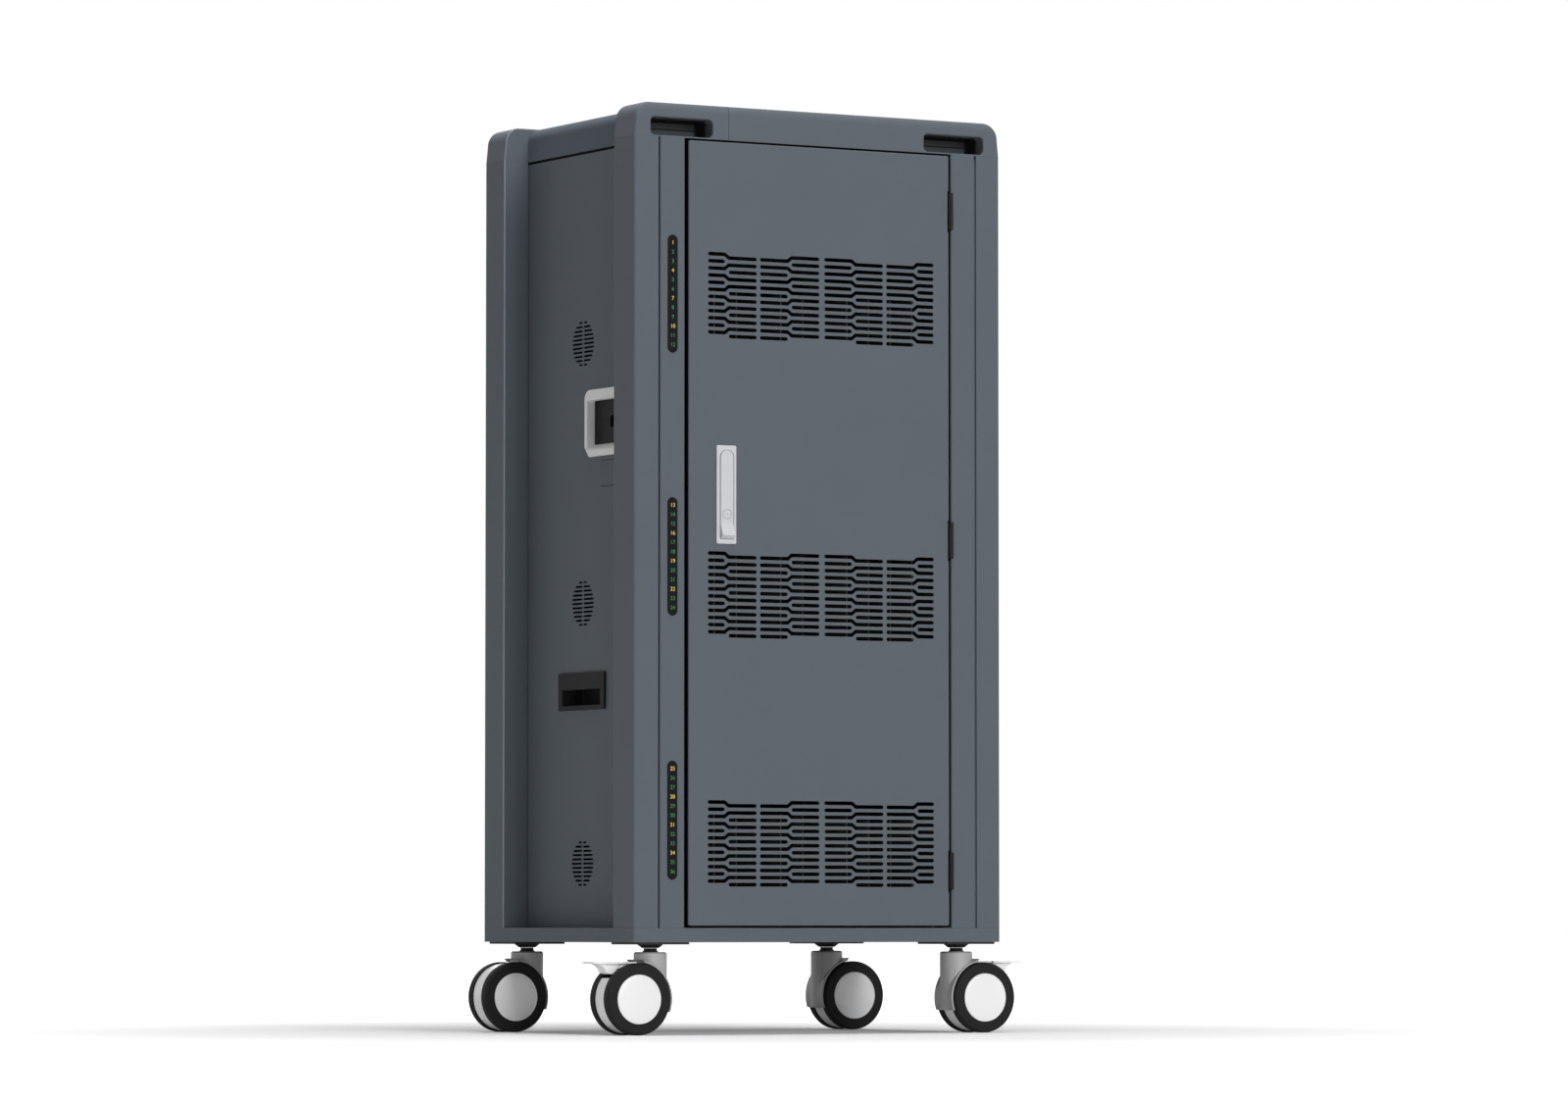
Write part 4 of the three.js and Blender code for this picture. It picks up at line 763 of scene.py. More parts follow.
def build_seals():
    low, high = node_box("front_door")
    outline = rectangle(low[0], high[0], low[2], high[2], 3.0)
    rear = high[1] - low[1] - 0.4
    rings = [(outline(SEAL), DOOR_SEAL_FRONT), (outline(SEAL), rear), (outline(0.02), rear), (outline(0.02), DOOR_SEAL_FRONT)]
    mesh = bmesh.new()
    loops = [[mesh.verts.new(at(u, low[1] + depth, v)) for u, v in flat] for flat, depth in rings]
    for near, far in zip(loops, loops[1:] + loops[:1]):
        bridge(mesh, near, far)
    piece("door_edge_shade_seal", mesh, BLACK_FOAM_AND_SHADE, "door")
    header_foot = node_box("header_left")[0][2]
    mesh = bmesh.new()
    strip = rectangle(low[0], high[0], low[1] + 3.0, low[1] + HEAD_SEAL_DEEP, 1.0)
    add_shell(mesh, facing_up(header_foot - 0.02), rim(strip, 1.2, 0.4))
    add_bar("header_shade_seal", mesh)
    stile = node_box("stile_right")[0]
    mesh = bmesh.new()
    strip = rectangle(stile[1] + 4.0, stile[1] + 18.0, low[2], high[2], 0.1, 2)
    add_shell(mesh, facing_side(stile[0] - SEAL, -1), rim(strip, SEAL - 0.02, 0.1))
    add_bar("stile_shade_seal", mesh)
    for side, outward in SIDES:
        start, end = node_box(f"side_panel_{side}")
        mesh = bmesh.new()
        strip = rectangle(start[1] + 2, end[1] - 2, end[2] - PANEL_SEAL, end[2] + PANEL_SEAL, 1.0)
        add_shell(mesh, facing_side(outward * (POST_X - SHEET - 0.1), outward), rim(strip, PANEL_SEAL, 0.6))
        add_bar(f"panel_head_shade_seal_{side}", mesh)
        for row, ahead in (("front", 1), ("rear", -1)):
            post_low, post_high = node_box(f"post_{row}_{side}")
            edge = post_high[1] if ahead > 0 else post_low[1]
            ends = sorted((edge + ahead * 0.1, edge + ahead * (PANEL_GROOVE - 0.2)))
            mesh = bmesh.new()
            strip = rectangle(ends[0], ends[1], start[2] + 2, end[2] - 2, 0.3, 3)
            place = facing_side(outward * (POST_X - PANEL_GROOVE_DEEP + SEAL), outward)
            add_shell(mesh, place, rim(strip, SEAL - 0.02, 0.1))
            add_bar(f"panel_shade_seal_{row}_{side}", mesh)


LIFT_FLANGE = 3.5
LIFT_EDGE = 0.8
LIFT_RIM_Y = 7.0
LIFT_RIM_Z = 3.5
LIFT_MOUTH_SIDE = 12.0
LIFT_MOUTH_FOOT = 6.6
LIFT_MOUTH_TALL = 22.4
LIFT_WALL = 3.0


def build_lift_handles():
    for side, outward in SIDES:
        low, high = node_box(f"lift_handle_{side}")
        outside = high[0] if outward > 0 else low[0]
        deep = high[0] - low[0]
        flange = rectangle(low[1], high[1], low[2], high[2], 2.0)
        mouth_foot = low[2] + LIFT_MOUTH_FOOT
        near, far = low[1] + LIFT_MOUTH_SIDE, high[1] - LIFT_MOUTH_SIDE
        mouth = rectangle(near, far, mouth_foot, mouth_foot + LIFT_MOUTH_TALL, 1.2)
        room = rectangle(near, far, mouth_foot, high[2] - LIFT_RIM_Z - LIFT_WALL, 3.0)
        cup = rectangle(low[1] + LIFT_RIM_Y, high[1] - LIFT_RIM_Y, low[2] + LIFT_RIM_Z, high[2] - LIFT_RIM_Z, 3.0)
        outer = front_edge(flange, LIFT_EDGE, 1) + [(flange(), LIFT_FLANGE), (cup(), LIFT_FLANGE), (cup(), deep)]
        inner = front_edge(mouth, 0.6, -1) + [(mouth(), LIFT_FLANGE + LIFT_WALL), (room(), LIFT_FLANGE + LIFT_WALL)]
        inner += [(room(), deep - LIFT_WALL - 2), (room(-2), deep - LIFT_WALL)]
        mesh = bmesh.new()
        add_shell(mesh, facing_side(outside, outward), outer, (), [inner])
        piece(f"lift_cup_{side}", mesh, BLACK, "cabinet", (f"lift_handle_{side}",))


# The inlet recess in the left panel: a light frame with a sloped sill, and the socket behind it.
BEZEL_HEAD_CORNER = 14.0
BEZEL_CHAMFER = (12.0, 14.0)
BEZEL_FRAME = 4.0
BEZEL_BORDER = 7.6
BEZEL_FOOT_BORDER = 9.0
BEZEL_HEAD_BORDER = 15.0
BEZEL_SILL_RISE = 9.0


def bezel_outline(low, high):
    wide, tall = BEZEL_CHAMFER

    def outline(grow=0.0):
        y0, y1, z0, z1 = low[1] - grow, high[1] + grow, low[2] - grow, high[2] + grow
        ease = grow * 0.45
        points = [(y0, z0 + tall - ease), (y0 + wide - ease, z0), (y1 - wide + ease, z0), (y1, z0 + tall - ease)]
        radius = BEZEL_HEAD_CORNER + grow
        points += arc(y1 - radius, z1 - radius, radius, 0, QUARTER, CORNER_STEPS)
        points += arc(y0 + radius, z1 - radius, radius, QUARTER, QUARTER, CORNER_STEPS)
        return points

    return outline


def build_bezel():
    low, high = node_box("side_bezel")
    outside = low[0]
    deep = high[0] - low[0]
    y0, y1 = low[1] + BEZEL_BORDER, high[1] - BEZEL_BORDER
    foot, head = low[2] + BEZEL_FOOT_BORDER, high[2] - BEZEL_HEAD_BORDER
    mouth = rectangle(y0, y1, foot, head, 2.5)
    back = rectangle(y0, y1, foot + BEZEL_SILL_RISE, head, 2.5)
    collar = rectangle(y0 - 2, y1 + 2, foot + 2, head + 2, 2.5)
    outer = front_edge(bezel_outline(low, high), 1.2, 1) + [(bezel_outline(low, high)(), BEZEL_FRAME)]
    way = front_edge(mouth, 1.0, -1) + [(back(), deep), (collar(), deep), (collar(), BEZEL_FRAME)]
    mesh = bmesh.new()
    add_shell(mesh, facing_side(outside, -1), outer, [way])
    piece("inlet_frame", mesh, SILVER_MOULDED, "cabinet", ("side_bezel",))
    low, high = node_box("power_inlet")
    mesh = bmesh.new()
    middle_y, middle_z = (y0 + y1) / 2, (foot + BEZEL_SILL_RISE + head) / 2
    body = rectangle(low[1], high[1], low[2], high[2], 2.0)
    socket = rectangle(middle_y - 12, middle_y + 12, middle_z - 8.5, middle_z + 8.5, (2.0, 2.0, 4.5, 4.5))
    deep = high[0] - low[0]
    add_shell(mesh, facing_side(low[0], -1), rim(body, deep, 0.8), (), [pocket(socket, deep - 4, 0.6, 0.5)])
    for step, rise in ((-1, -2.5), (0, 2.5), (1, -2.5)):
        u, v = middle_y + step * 6, middle_z + rise
        pin = rectangle(u - 1, u + 1, v - 2.2, v + 2.2, 0.6, 3)
        add_shell(mesh, facing_side(low[0] + 4, -1), rim(pin, deep - 8, 0.4))
    piece("inlet_block", mesh, BLACK, "cabinet", ("power_inlet",))


# The door: a folded pan with three blocks of stepped and straight slots.
VENT_TOPS = (1093.8, 674.3, 326.8)
VENT_MIDDLE = 2.5
VENT_SLOT = 5.2
VENT_ROW = 10.0
VENT_STEP = 5.0
VENT_ROWS = 12
VENT_GROUPS = (((4.0, 49.0, 55.4, 100.4), 0), ((105.6, 150.6, 157.0, 184.0), 1))
DOOR_BEND = 1.8
DOOR_RETURN = 14.0
HINGES = (1, 2, 3)


def vent_slots(top):
    first = top - VENT_SLOT / 2
    half = VENT_SLOT / 2
    slots = []

    def level(row, low):
        return first - VENT_ROW * row - (VENT_STEP if low else 0)

    for (u0, u1, u2, u3), inner in VENT_GROUPS:
        for row in range(0, VENT_ROWS, 3):
            for near_row, far_row in ((row, row), (row + (2 if inner == 0 else 1), row + (2 if inner == 1 else 1))):
                near, far = level(near_row, inner != 0), level(far_row, inner != 1)
                slots.append([(u0 + half, near), (u1, near), (u2, far), (u3 - half, far)])
            near_row, far_row = row + (1 if inner == 0 else 2), row + (1 if inner == 1 else 2)
            slots.append([(u0 + half, level(near_row, inner != 0)), (u1 - half, level(near_row, inner != 0))])
            slots.append([(u2 + half, level(far_row, inner != 1)), (u3 - half, level(far_row, inner != 1))])
    both = []
    for path in slots:
        both.append([(VENT_MIDDLE + u, v) for u, v in path])
        both.append([(VENT_MIDDLE - u, v) for u, v in path])
    return both


SPINDLE_BORE = 6.5


def build_door():
    low, high = node_box("front_door")
    outline = rectangle(low[0], high[0], low[2], high[2], 3.0)
    deep = high[1] - low[1]
    rings = front_edge(outline, DOOR_BEND, 1)
    rings += [(outline(), deep), (outline(-SHEET), deep), (outline(-SHEET), SHEET)]
    holes = []
    for top in VENT_TOPS:
        holes += [hole(slot(path, VENT_SLOT, 6), SHEET, 0.2) for path in vent_slots(top)]
    spindle_low, spindle_high = node_box("lock_spindle")
    spindle_middle = [(start + end) / 2 for start, end in zip(spindle_low, spindle_high)]
    holes.append(hole(circle(spindle_middle[0], spindle_middle[2], SPINDLE_BORE, 32), SHEET, 0.2))
    mesh = bmesh.new()
    add_shell(mesh, facing_front(low[1]), rings, holes)
    notches = []
    for number in HINGES:
        start, end = node_box(f"hinge_{number}_frame_half")
        knuckle = bmesh.new()
        shape = rectangle(high[0] - 2.2, high[0] + 5, start[2] - 3, end[2] + 3, 0.6, 2)
        add_shell(knuckle, facing_front(low[1] - 5), [(shape(), 0), (shape(), 10.6)])
        notches.append(("DIFFERENCE", knuckle))
    mesh = combined(mesh, *notches)
    piece("door_pan", mesh, SLATE, "door", ("front_door",))


# The lock: a plate with a sunk bed, a swing handle with a lifted lip and a key plug.
LOCK_BED_GAPS = (0.5, 1.7)
LOCK_BED = 1.3
LOCK_LIP_TOP = 21.5
LOCK_LIP_EDGE = 4.7
LOCK_BAR = 1.5
LOCK_PLUG = 6.6
LOCK_PLUG_LEVEL = 34.5
LOCK_PLUG_DEEP = 1.1
LOCK_PLUG_GAP = 0.55
LOCK_EDGE = 0.45
LOCK_LINER = 0.15
LOCK_LINER_GAP = 0.04
LOCK_DISC_GAP = 0.3


def lip_raise(level, most):
    if level < LOCK_LIP_EDGE:
        return most * level / LOCK_LIP_EDGE
    share = max(0.0, (LOCK_LIP_TOP - level) / (LOCK_LIP_TOP - LOCK_LIP_EDGE))
    return most * share ** 1.15


def build_lock():
    low, high = node_box("lock_plate")
    bar_low, bar_high = node_box("lock_handle")
    front = bar_high[1] - LOCK_BAR
    middle = (low[0] + high[0]) / 2
    top = (bar_high[0] - bar_low[0]) / 2 - 0.05
    bar = rectangle(bar_low[0], bar_high[0], bar_low[2], bar_high[2], (1.4, 1.4, top, top), 10)
    mesh = bmesh.new()
    add_shell(mesh, facing_front(low[1]), rim(rectangle(low[0], high[0], low[2], high[2], 2.5), high[1] - low[1], 0.8))
    bed = bmesh.new()
    near, far = LOCK_BED_GAPS
    ends = (bar_low[0] - near, bar_high[0] + far, bar_low[2] - near, bar_high[2] + near)
    sunk = rectangle(*ends, (1.4, 1.4, top, top), 10)
    add_shell(bed, facing_front(low[1] - 5), [(sunk(), 0), (sunk(), 5 + LOCK_BED)])
    spindle_low, spindle_high = node_box("lock_spindle")
    disc = (spindle_high[0] - spindle_low[0]) / 2 + 0.4
    bore = bmesh.new()
    level = bar_high[2] - top
    bore_shape = circle(middle, level, min(disc, top), 48)
    add_shell(bore, facing_front(low[1] - 5), [(bore_shape(), 0), (bore_shape(), 20)])
    mesh = combined(mesh, ("DIFFERENCE", bed), ("DIFFERENCE", bore))
    piece("lock_backplate", mesh, SILVER, "door", ("lock_plate",))
    # A black liner on the floor of the bed: painted shade that draws the dark gap round the handle.
    mesh = bmesh.new()
    floor = [(sunk(-LOCK_LINER_GAP), 0), (sunk(-LOCK_LINER_GAP), LOCK_LINER)]
    ring = circle(middle, level, top + LOCK_DISC_GAP, 48)()
    hollow = [(ring, 0), (ring, LOCK_LINER)]
    add_shell(mesh, facing_front(low[1] + LOCK_BED - LOCK_LINER), floor, [hollow])
    piece("lock_bed_shade_liner", mesh, BLACK, "door")

    plug_level = bar_low[2] + LOCK_PLUG_LEVEL
    seat = pocket(circle(middle, plug_level, LOCK_PLUG + LOCK_PLUG_GAP, 48), LOCK_PLUG_DEEP + 0.1, 0.25, 0.1)
    mesh = bmesh.new()
    add_shell(mesh, facing_front(front), front_edge(bar, LOCK_EDGE, 1) + back_edge(bar, 0.3, 1, LOCK_BAR), (), [seat])
    settle(mesh)
    for rise in (LOCK_LIP_EDGE, 7.5, 11.0, 15.0, 18.5, LOCK_LIP_TOP):
        everything = mesh.verts[:] + mesh.edges[:] + mesh.faces[:]
        bmesh.ops.bisect_plane(mesh, geom=everything, plane_co=at(0, 0, bar_low[2] + rise), plane_no=(0, 0, 1))
    for vertex in mesh.verts:
        if vertex.co.y / MM < front + LOCK_EDGE + 0.01:
            vertex.co.y -= lip_raise(vertex.co.z / MM - bar_low[2], front - bar_low[1]) * MM
    piece("lock_swing_handle", mesh, SILVER, "lock_handle", ("lock_handle",))

    mesh = bmesh.new()
    plug = circle(middle, plug_level, LOCK_PLUG, 48)
    keyway = rectangle(middle - 0.5, middle + 0.5, plug_level - 2.8, plug_level + 2.8, 0.45, 3)
    add_shell(mesh, facing_front(front - 0.1), rim(plug, LOCK_PLUG_DEEP, 0.3), (), [pocket(keyway, 0.8, 0.1, 0.1)])
    piece("lock_plug", mesh, SILVER, "lock_key", ("lock_cylinder",))


# Hinges: a lower knuckle on the frame, an upper one on the door, and a leaf on each.
KNUCKLE = 3.6
HINGE_LEAF = 1.4
HINGE_SEAM = 0.2


def upright(x, y):
    return lambda u, v, height: at(x + u, y + v, height)


def add_knuckle(mesh, x, y, foot, head):
    edge = 0.25
    profile = [(0, foot), (KNUCKLE - edge, foot), (KNUCKLE, foot + edge), (KNUCKLE, head - edge)]
    add_lathe(mesh, upright(x, y), profile + [(KNUCKLE - edge, head), (0, head)], steps=32)


def add_block(mesh, x0, x1, y0, y1, z0, z1, edge):
    add_shell(mesh, facing_up(z1), rim(rectangle(x0, x1, y0, y1, edge + 0.05, 3), z1 - z0, edge))


def build_hinges():
    door_side = node_box("front_door")[1][0]
    for number in HINGES:
        upper_low, upper_high = node_box(f"hinge_{number}_door_half")
        low, high = node_box(f"hinge_{number}_frame_half")
        x, y = low[0] + KNUCKLE, low[1] + KNUCKLE
        seam = upper_low[2] - HINGE_SEAM
        mesh = bmesh.new()
        add_knuckle(mesh, x, y, low[2], seam)
        add_block(mesh, high[0] - HINGE_LEAF, high[0], y, high[1], low[2], seam, 0.4)
        name = f"hinge_{number}_frame_half"
        piece(f"{name}_black", mesh, HINGE_BLACK, "cabinet", (name,))
        mesh = bmesh.new()
        add_knuckle(mesh, x, y, upper_low[2], upper_high[2])
        add_block(mesh, door_side + 0.05, door_side + HINGE_LEAF, y, upper_high[1], upper_low[2], upper_high[2], 0.4)
        name = f"hinge_{number}_door_half"
        piece(f"{name}_black", mesh, HINGE_BLACK, "door", (name,))


# Casters: a plate with its race cup, a fork with a fender, two tyres on domed hubs, and pedals in front.
RACE_HEAD = 17.5
RACE_FOOT = 12.5
RACE_TALL = 5.0
NECK = 9.4
NECK_TALL = 5.6
COLUMN = 23.2
COLUMN_CHAMFER = 2.0
WEB_HALF = 13.0
WEB_RADIUS = 48.0
FENDER = 54.0
FENDER_WALL = 2.4
FENDER_HALF = 24.5
FENDER_OUTBOARD = -10.0
FENDER_BELOW = 18.0
LIP_RISE = 2.2
TYRE_BORE = 34.4
TYRE_CHAMFER = 4.0
HUB_DOME = 1.4
FORK_STEPS = 128
PEDAL_TIP = 2.8
PEDAL_WIDE = 16.8
PEDAL_RIB = 11.0
PEDAL_DROP = 17.0
PEDAL_TONGUE = 6.0
PEDAL_START = 20.0
PEDAL_INNER = 12.4


def box_mesh(x0, x1, y0, y1, z0, z1):
    mesh = bmesh.new()
    outline = [(x0, y0), (x1, y0), (x1, y1), (x0, y1)]
    add_shell(mesh, facing_up(z1), [(outline, 0), (outline, z1 - z0)])
    return mesh


def build_caster_mount(corner):
    name = f"caster_{corner}_plate"
    low, high = node_box(name)
    x, y = (low[0] + high[0]) / 2, (low[1] + high[1]) / 2
    mesh = bmesh.new()
    foot = low[2] + RACE_TALL
    add_shell(mesh, facing_up(high[2]), rim(rectangle(low[0], high[0], low[1], high[1], 4.0), high[2] - foot, 0.6))
    profile = [(0, foot + 1), (RACE_HEAD, foot + 1), (RACE_HEAD, foot - 0.8), (RACE_FOOT, low[2] + 0.5)]
    add_lathe(mesh, upright(x, y), profile + [(RACE_FOOT - 0.5, low[2]), (0, low[2])], steps=64)
    piece(f"{name}_and_race", mesh, ZINC_PAINTED_SHADE, "cabinet", (name,))


def build_fork(corner, outward, braked):
    plate_low, plate_high = node_box(f"caster_{corner}_plate")
    hub_low, hub_high = node_box(f"caster_{corner}_hubs")
    x, y = (plate_low[0] + plate_high[0]) / 2, (plate_low[1] + plate_high[1]) / 2
    axle_x, axle_z = (hub_low[0] + hub_high[0]) / 2, (hub_low[2] + hub_high[2]) / 2
    head = plate_low[2] - NECK_TALL
    foot = axle_z - FENDER_BELOW
    around = along_y(axle_x, axle_z, y)

    def disc(radius, near, far):
        mesh = bmesh.new()
        add_lathe(mesh, around, [(0, near), (radius, near), (radius, far), (0, far)], steps=FORK_STEPS)
        return mesh

    ends = sorted((axle_x + outward * FENDER_OUTBOARD, axle_x - outward * 2 * FENDER))
    keep = box_mesh(ends[0], ends[1], y - FENDER, y + FENDER, foot, head)
    column = bmesh.new()
    profile = [(0, foot), (COLUMN, foot), (COLUMN, head - COLUMN_CHAMFER), (COLUMN - COLUMN_CHAMFER, head), (0, head)]
    add_lathe(column, upright(x, y), profile, steps=FORK_STEPS)
    lip = bmesh.new()
    end = FENDER_OUTBOARD
    rise = math.sqrt(FENDER ** 2 - end ** 2)
    start = math.sqrt(FENDER ** 2 - (end - 11) ** 2)
    sweep = [(end - 11, start - FENDER_WALL), (end + 1.5, rise), (end + 2.5, rise + LIP_RISE), (end - 6, start)]
    shape = [(axle_x + outward * u, axle_z + v) for u, v in sweep][::outward]
    flare = [(shape, 0), (shape, 2 * FENDER_HALF)]
    add_shell(lip, facing_front(y - FENDER_HALF), flare)
    room = FENDER - FENDER_WALL
    steps = [("INTERSECT", keep), ("UNION", column), ("UNION", lip)]
    steps += [("DIFFERENCE", disc(room, WEB_HALF, 60)), ("DIFFERENCE", disc(room, -60, -WEB_HALF))]
    steps.append(("DIFFERENCE", disc(6.3, -60, 60)))
    mesh = combined(disc(FENDER, -FENDER_HALF, FENDER_HALF), *steps)
    name = f"caster_{corner}_fork"
    piece(f"{name}_cast", mesh, SATIN, f"caster_{corner}", (name,), bevel=0.5)
    web = disc(WEB_RADIUS, -WEB_HALF + 0.2, WEB_HALF - 0.2)
    steps = [("DIFFERENCE", disc(6.3, -60, 60))]
    if braked:
        near = sorted((axle_x + outward * 2, axle_x + outward * 2 * FENDER))
        steps.append(("DIFFERENCE", box_mesh(near[0], near[1], y - 7, y + 7, axle_z + 34, head + 40)))
        far = sorted((axle_x + outward * PEDAL_START, axle_x + outward * 2 * FENDER))
        steps.append(("DIFFERENCE", box_mesh(far[0], far[1], y - WEB_HALF - 2, y + WEB_HALF + 2, axle_z + 29.6, head + 40)))
    piece(f"{name}_web", combined(web, *steps), HUB, f"caster_{corner}", bevel=0.5)
    neck = bmesh.new()
    foot, top = head - 2, plate_low[2] - 0.3
    profile = [(0, foot), (NECK + 1.6, foot), (NECK + 1.6, head + 1.2), (NECK, head + 1.8), (NECK, top), (0, top)]
    add_lathe(neck, upright(x, y), profile, steps=64)
    piece(f"{name}_neck", neck, ZINC_PAINTED_SHADE, f"caster_{corner}")


def build_wheels(corner):
    hub_low, hub_high = node_box(f"caster_{corner}_hubs")
    axle_x, axle_z = (hub_low[0] + hub_high[0]) / 2, (hub_low[2] + hub_high[2]) / 2
    middle = (hub_low[1] + hub_high[1]) / 2
    body = f"wheels_{corner}"
    for row, ahead in (("front", -1), ("rear", 1)):
        name = f"caster_{corner}_tyre_{row}"
        low, high = node_box(name)
        near, far = sorted((abs(low[1] - middle), abs(high[1] - middle)))
        radius = axle_z
        mesh = bmesh.new()
        outside = arc(radius - TYRE_CHAMFER, far - TYRE_CHAMFER, TYRE_CHAMFER, QUARTER, -QUARTER, 6)
        inside = arc(radius - 2, near + 2, 2.0, 0, -QUARTER, 4)
        profile = [(TYRE_BORE, near), (TYRE_BORE, far - 0.8), (TYRE_BORE + 0.8, far)]
        profile += [(radius - 7.5, far), (radius - 6.6, far - 0.5), (radius - 5.7, far)] + outside
        profile += [(radius, near + 7.4), (radius - 0.5, near + 6.9), (radius, near + 6.4)] + inside
        add_lathe(mesh, along_y(axle_x, axle_z, middle, ahead), profile, closed=True)
        piece(f"{name}_rubber", mesh, RUBBER, body, (name,))
    name = f"caster_{corner}_hubs"
    mesh = bmesh.new()
    reach = (hub_high[1] - hub_low[1]) / 2
    face = reach - HUB_DOME
    rim_radius = TYRE_BORE - 0.15
    half = [(0, reach)]
    for step in range(1, 11):
        share = step / 10
        half.append(((rim_radius - 2.2) * share, face + HUB_DOME * (1 - share ** 2.2)))
    half += [(rim_radius - 1.6, face - 0.5), (rim_radius - 1.0, face), (rim_radius - 0.4, face), (rim_radius, face - 0.4)]
    half += [(rim_radius, WEB_HALF + 1.0), (6.0, WEB_HALF + 1.0)]
    profile = half + [(radius, -height) for radius, height in half[::-1]]
    add_lathe(mesh, along_y(axle_x, axle_z, middle), profile)
    piece(f"{name}_satin", mesh, HUB, body, (name,))


def build_pedal(corner, outward):
    name = f"caster_{corner}_pedal"
    low, high = node_box(name)
    hub_low, hub_high = node_box(f"caster_{corner}_hubs")
    axle_x = (hub_low[0] + hub_high[0]) / 2
    y = (low[1] + high[1]) / 2
    top = high[2]
    reach = abs((high[0] if outward > 0 else low[0]) - axle_x)
    start = PEDAL_START

    def shape(points):
        return [(axle_x + outward * u, top + v) for u, v in points][::-outward]

    def slab(points, half):
        mesh = bmesh.new()
        outline = shape(points)
        add_shell(mesh, facing_front(y - half), [(outline, 0), (outline, 2 * half)])
        return mesh

    plate = [(start, 0), (reach - 0.6, 0), (reach, -0.6), (reach, -PEDAL_TIP + 0.5), (reach - 0.8, -PEDAL_TIP)]
    plate += [(start, -PEDAL_TIP)]
    hollow = arc(reach - 4, -PEDAL_DROP - 6, 21.0, QUARTER, QUARTER * 0.78, 10)
    rib = [(start + 1, -1), (reach - 4, -1)] + hollow + [(start + 15, -PEDAL_DROP), (start + 11, -PEDAL_DROP)]
    tongue = [(3.0, -1), (start + 9, -1), (start + 9, -8), (12, -11), (5, -10), (3.0, -6)]
    tail = [(-4.0, 0), (start + 2, 0), (start + 2, -PEDAL_TIP), (-4.0, -PEDAL_TIP + 0.6)]
    steps = [("UNION", slab(rib, PEDAL_RIB)), ("UNION", slab(tongue, PEDAL_TONGUE)), ("UNION", slab(tail, PEDAL_INNER))]
    mesh = combined(slab(plate, PEDAL_WIDE), *steps)
    piece(f"{name}_wing", mesh, HUB, f"brake_{corner}", (name,), bevel=0.4)


def build_casters():
    for corner in CORNERS:
        outward = 1 if corner.endswith("right") else -1
        braked = corner.startswith("front")
        build_caster_mount(corner)
        build_fork(corner, outward, braked)
        build_wheels(corner)
        if braked:
            build_pedal(corner, outward)


# Inside and rear: the racks, shelves, panel and power strip keep their solids, with softened edges.
def soften(name, material, width):
    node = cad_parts[name]
    node.data.materials.clear()
    node.data.materials.append(material)
    joined = node.modifiers.new("joined", "WELD")
    joined.merge_threshold = 0.01 * MM
    softer = node.modifiers.new("edges", "BEVEL")
    softer.width = width * MM
    softer.segments = 2
    softer.limit_method = "ANGLE"
    softer.angle_limit = SMOOTH_ANGLE


# Filter pads behind the rear slots: near-black felted sheets with a quilt of shallow dimples, which paint the slots
# dark as shade instead of letting the backdrop show through.
PAD_TALL = 84.0
PAD_NEAR = 46.0
PAD_FAR = 226.0
PAD_THICK = 5.0
PAD_QUILT = 12.0


def build_filter_pads():
    low, high = node_box("rear_panel")
    pitch = (high[2] - low[2]) / 3
    for tier in (1, 2, 3):
        middle = low[2] + (tier - 0.5) * pitch
        for side, outward in SIDES:
            mesh = bmesh.new()
            ends = sorted((outward * PAD_NEAR, outward * PAD_FAR))
            outline = rectangle(ends[0], ends[1], middle - PAD_TALL / 2, middle + PAD_TALL / 2, 3.0)
            dimples = []
            for column in range(15):
                for row in range(7):
                    u = ends[0] + PAD_QUILT * (column + 0.5)
                    v = middle + PAD_QUILT * (row - 3)
                    dimples.append(pocket(rectangle(u - 4, u + 4, v - 4, v + 4, 1.5, 2), 1.2, 0.4, 0.4))
            add_shell(mesh, facing_front(low[1] - PAD_THICK - 0.1), rim(outline, PAD_THICK, 0.8), (), dimples)
            piece(f"filter_pad_shade_tier_{tier}_{side}", mesh, BLACK_FOAM_AND_SHADE, "cabinet")


# Screws of the rear panel: low domed heads with a cross slot.
SCREW = 4.2
SCREW_TALL = 1.7
SCREW_INSET = 11.0


def build_rear_screws():
    low, high = node_box("rear_panel")
    mesh = bmesh.new()
    rows = 5
    for side, outward in SIDES:
        x = high[0] - SCREW_INSET if outward > 0 else low[0] + SCREW_INSET
        for row in range(rows):
            z = low[2] + SCREW_INSET + (high[2] - low[2] - 2 * SCREW_INSET) * row / (rows - 1)
            head = front_edge(circle(x, z, SCREW, 32), SCREW_TALL, 1) + [(circle(x, z, SCREW, 32)(), SCREW_TALL)]
            cross = [(x + u, z + v) for u, v in CROSS]
            recess = [(cross, 0.0), (cross, 1.0)]
            add_shell(mesh, facing_rear(high[1] + SCREW_TALL), head, (), [recess])
    piece("rear_screws", mesh, ZINC_PAINTED_SHADE, "cabinet")


CROSS = ((1.9, -0.4), (1.9, 0.4), (0.4, 0.4), (0.4, 1.9), (-0.4, 1.9), (-0.4, 0.4))
CROSS += tuple((-u, -v) for u, v in CROSS)


def build_inside():
    for tier in (1, 2, 3):
        soften(f"divider_rack_tier_{tier}", GREY_MOULDED, 0.4)
    for tier in (2, 3):
        soften(f"shelf_tier_{tier}", GREY, 0.4)
    soften("rear_panel", SLATE, 0.4)
    soften("power_strip", BLACK, 0.6)
    soften("lock_spindle", ZINC_PAINTED_SHADE, 0.3)


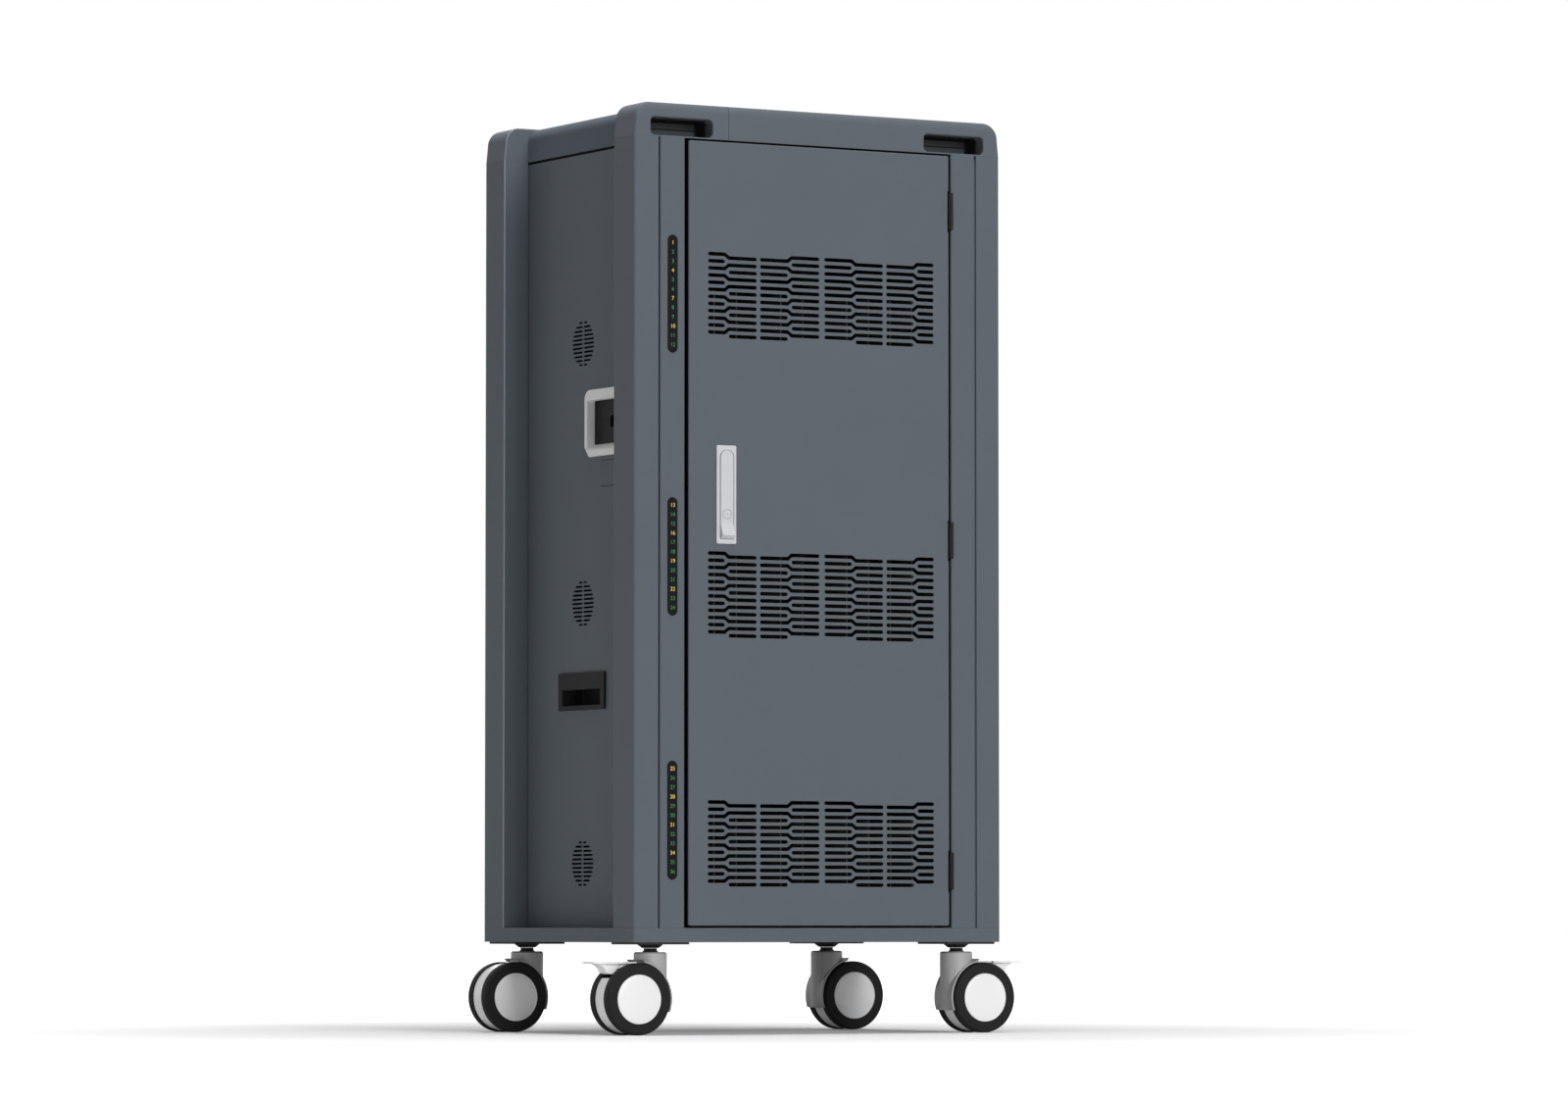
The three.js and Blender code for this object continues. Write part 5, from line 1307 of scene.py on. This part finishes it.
CORNERS = ("front_left", "front_right", "rear_left", "rear_right")
HEADER_LOW, HEADER_HIGH = node_box("header_left")
GRIPS = {
    "left": (-271.5, -172.5, HEADER_LOW[2] + 2, HEADER_LOW[2] + 27.4, 48.0),
    "right": (172.5, 271.5, HEADER_LOW[2] + 2, HEADER_LOW[2] + 27.4, 48.0),
}

build_base()
build_posts()
build_headers()
build_roof()
build_stiles()
build_strips()
build_side_panels()
build_blank_plate()
build_seals()
build_lift_handles()
build_bezel()
build_door()
build_lock()
build_hinges()
build_casters()
build_inside()
build_filter_pads()
build_rear_screws()

# Stage.
FLOOR_REACH = 40.0
FADE_START = 0.6
FADE_END = 2.2
FLOOR_LIFT = 0.06


def seen_rays(tree):
    """One for rays that the background is seen by: straight, in a gloss or through glass."""
    path = tree.nodes.new("ShaderNodeLightPath")
    seen = path.outputs["Is Camera Ray"]
    for word in ("Is Glossy Ray", "Is Transmission Ray"):
        either = tree.nodes.new("ShaderNodeMath")
        either.operation = "MAXIMUM"
        link(tree, seen, either.inputs[0])
        link(tree, path.outputs[word], either.inputs[1])
        seen = either.outputs[0]
    return seen


def build_stage():
    material = bpy.data.materials.new("pale floor")
    material.use_nodes = True
    tree = material.node_tree
    shader = tree.nodes["Principled BSDF"]
    shader.inputs["Base Color"].default_value = (0.9, 0.9, 0.9, 1)
    shader.inputs["Roughness"].default_value = 0.9
    shader.inputs["Specular IOR Level"].default_value = 0.1
    shader.inputs["Emission Color"].default_value = (1, 1, 1, 1)
    where = tree.nodes.new("ShaderNodeTexCoord").outputs["Object"]
    away = tree.nodes.new("ShaderNodeVectorMath")
    away.operation = "LENGTH"
    link(tree, where, away.inputs[0])
    fade = tree.nodes.new("ShaderNodeMapRange")
    fade.interpolation_type = "SMOOTHSTEP"
    fade.inputs["From Min"].default_value = FADE_START
    fade.inputs["From Max"].default_value = FADE_END
    fade.inputs["To Min"].default_value = FLOOR_LIFT
    fade.inputs["To Max"].default_value = 1.0
    link(tree, away.outputs["Value"], fade.inputs["Value"])
    lift = tree.nodes.new("ShaderNodeMath")
    lift.operation = "MULTIPLY"
    link(tree, fade.outputs["Result"], lift.inputs[0])
    link(tree, seen_rays(tree), lift.inputs[1])
    link(tree, lift.outputs[0], shader.inputs["Emission Strength"])
    mesh = bmesh.new()
    corners = [mesh.verts.new((u * FLOOR_REACH, v * FLOOR_REACH, 0)) for u, v in ((-1, -1), (1, -1), (1, 1), (-1, 1))]
    mesh.faces.new(corners)
    data = bpy.data.meshes.new("floor")
    mesh.to_mesh(data)
    mesh.free()
    data.materials.append(material)
    floor = bpy.data.objects.new("floor", data)
    bpy.context.scene.collection.objects.link(floor)


def build_world():
    world = bpy.data.worlds.new("studio")
    bpy.context.scene.world = world
    world.use_nodes = True
    tree = world.node_tree
    lit = tree.nodes["Background"]
    lit.inputs["Color"].default_value = (1, 1, 1, 1)
    lit.inputs["Strength"].default_value = 0.15
    seen = tree.nodes.new("ShaderNodeBackground")
    seen.inputs["Color"].default_value = (1, 1, 1, 1)
    choice = tree.nodes.new("ShaderNodeMixShader")
    link(tree, seen_rays(tree), choice.inputs["Fac"])
    link(tree, lit.outputs[0], choice.inputs[1])
    link(tree, seen.outputs[0], choice.inputs[2])
    link(tree, choice.outputs[0], tree.nodes["World Output"].inputs["Surface"])


def aim(thing, place, target):
    thing.location = place
    thing.rotation_euler = (Vector(target) - Vector(place)).to_track_quat("-Z", "Y").to_euler()


def build_light(name, place, target, size, power):
    data = bpy.data.lights.new(name, "AREA")
    data.shape = "RECTANGLE"
    data.size, data.size_y = size
    data.energy = power
    lamp = bpy.data.objects.new(name, data)
    bpy.context.scene.collection.objects.link(lamp)
    aim(lamp, place, target)


def build_camera():
    yaw, tilt = math.radians(29.833), math.radians(3.004)
    right = Vector((math.cos(yaw), -math.sin(yaw), 0))
    back = Vector((-math.sin(yaw) * math.cos(tilt), -math.cos(yaw) * math.cos(tilt), -math.sin(tilt)))
    up = back.cross(right)
    data = bpy.data.cameras.new("camera")
    data.sensor_width = 36.0
    data.lens = 163.98
    data.clip_end = 200
    camera = bpy.data.objects.new("camera", data)
    bpy.context.scene.collection.objects.link(camera)
    matrix = camera.matrix_world.copy()
    for row in range(3):
        matrix[row][0], matrix[row][1], matrix[row][2] = right[row], up[row], back[row]
    matrix.translation = (-5.0440, -8.91365, 0.1524)
    camera.matrix_world = matrix
    bpy.context.scene.camera = camera


build_stage()
build_world()
build_light("key", (0.3, -11.0, 4.4), (0, 0, 0.6), (3.2, 2.5), 560)
build_light("top", (-0.1, -0.4, 4.6), (0, -0.3, 0), (2.0, 1.6), 125)
build_light("fill", (-3.0, -8.0, 1.6), (0, 0, 0.6), (1.2, 2.0), 50)
build_light("rear", (2.5, 9.0, 3.2), (0, 0, 0.6), (2.5, 2.0), 80)
build_light("rear_left", (-4.1, 6.9, 1.6), (0, 0, 0.7), (0.4, 0.6), 9)
build_camera()
bpy.context.scene.view_settings.view_transform = "Standard"
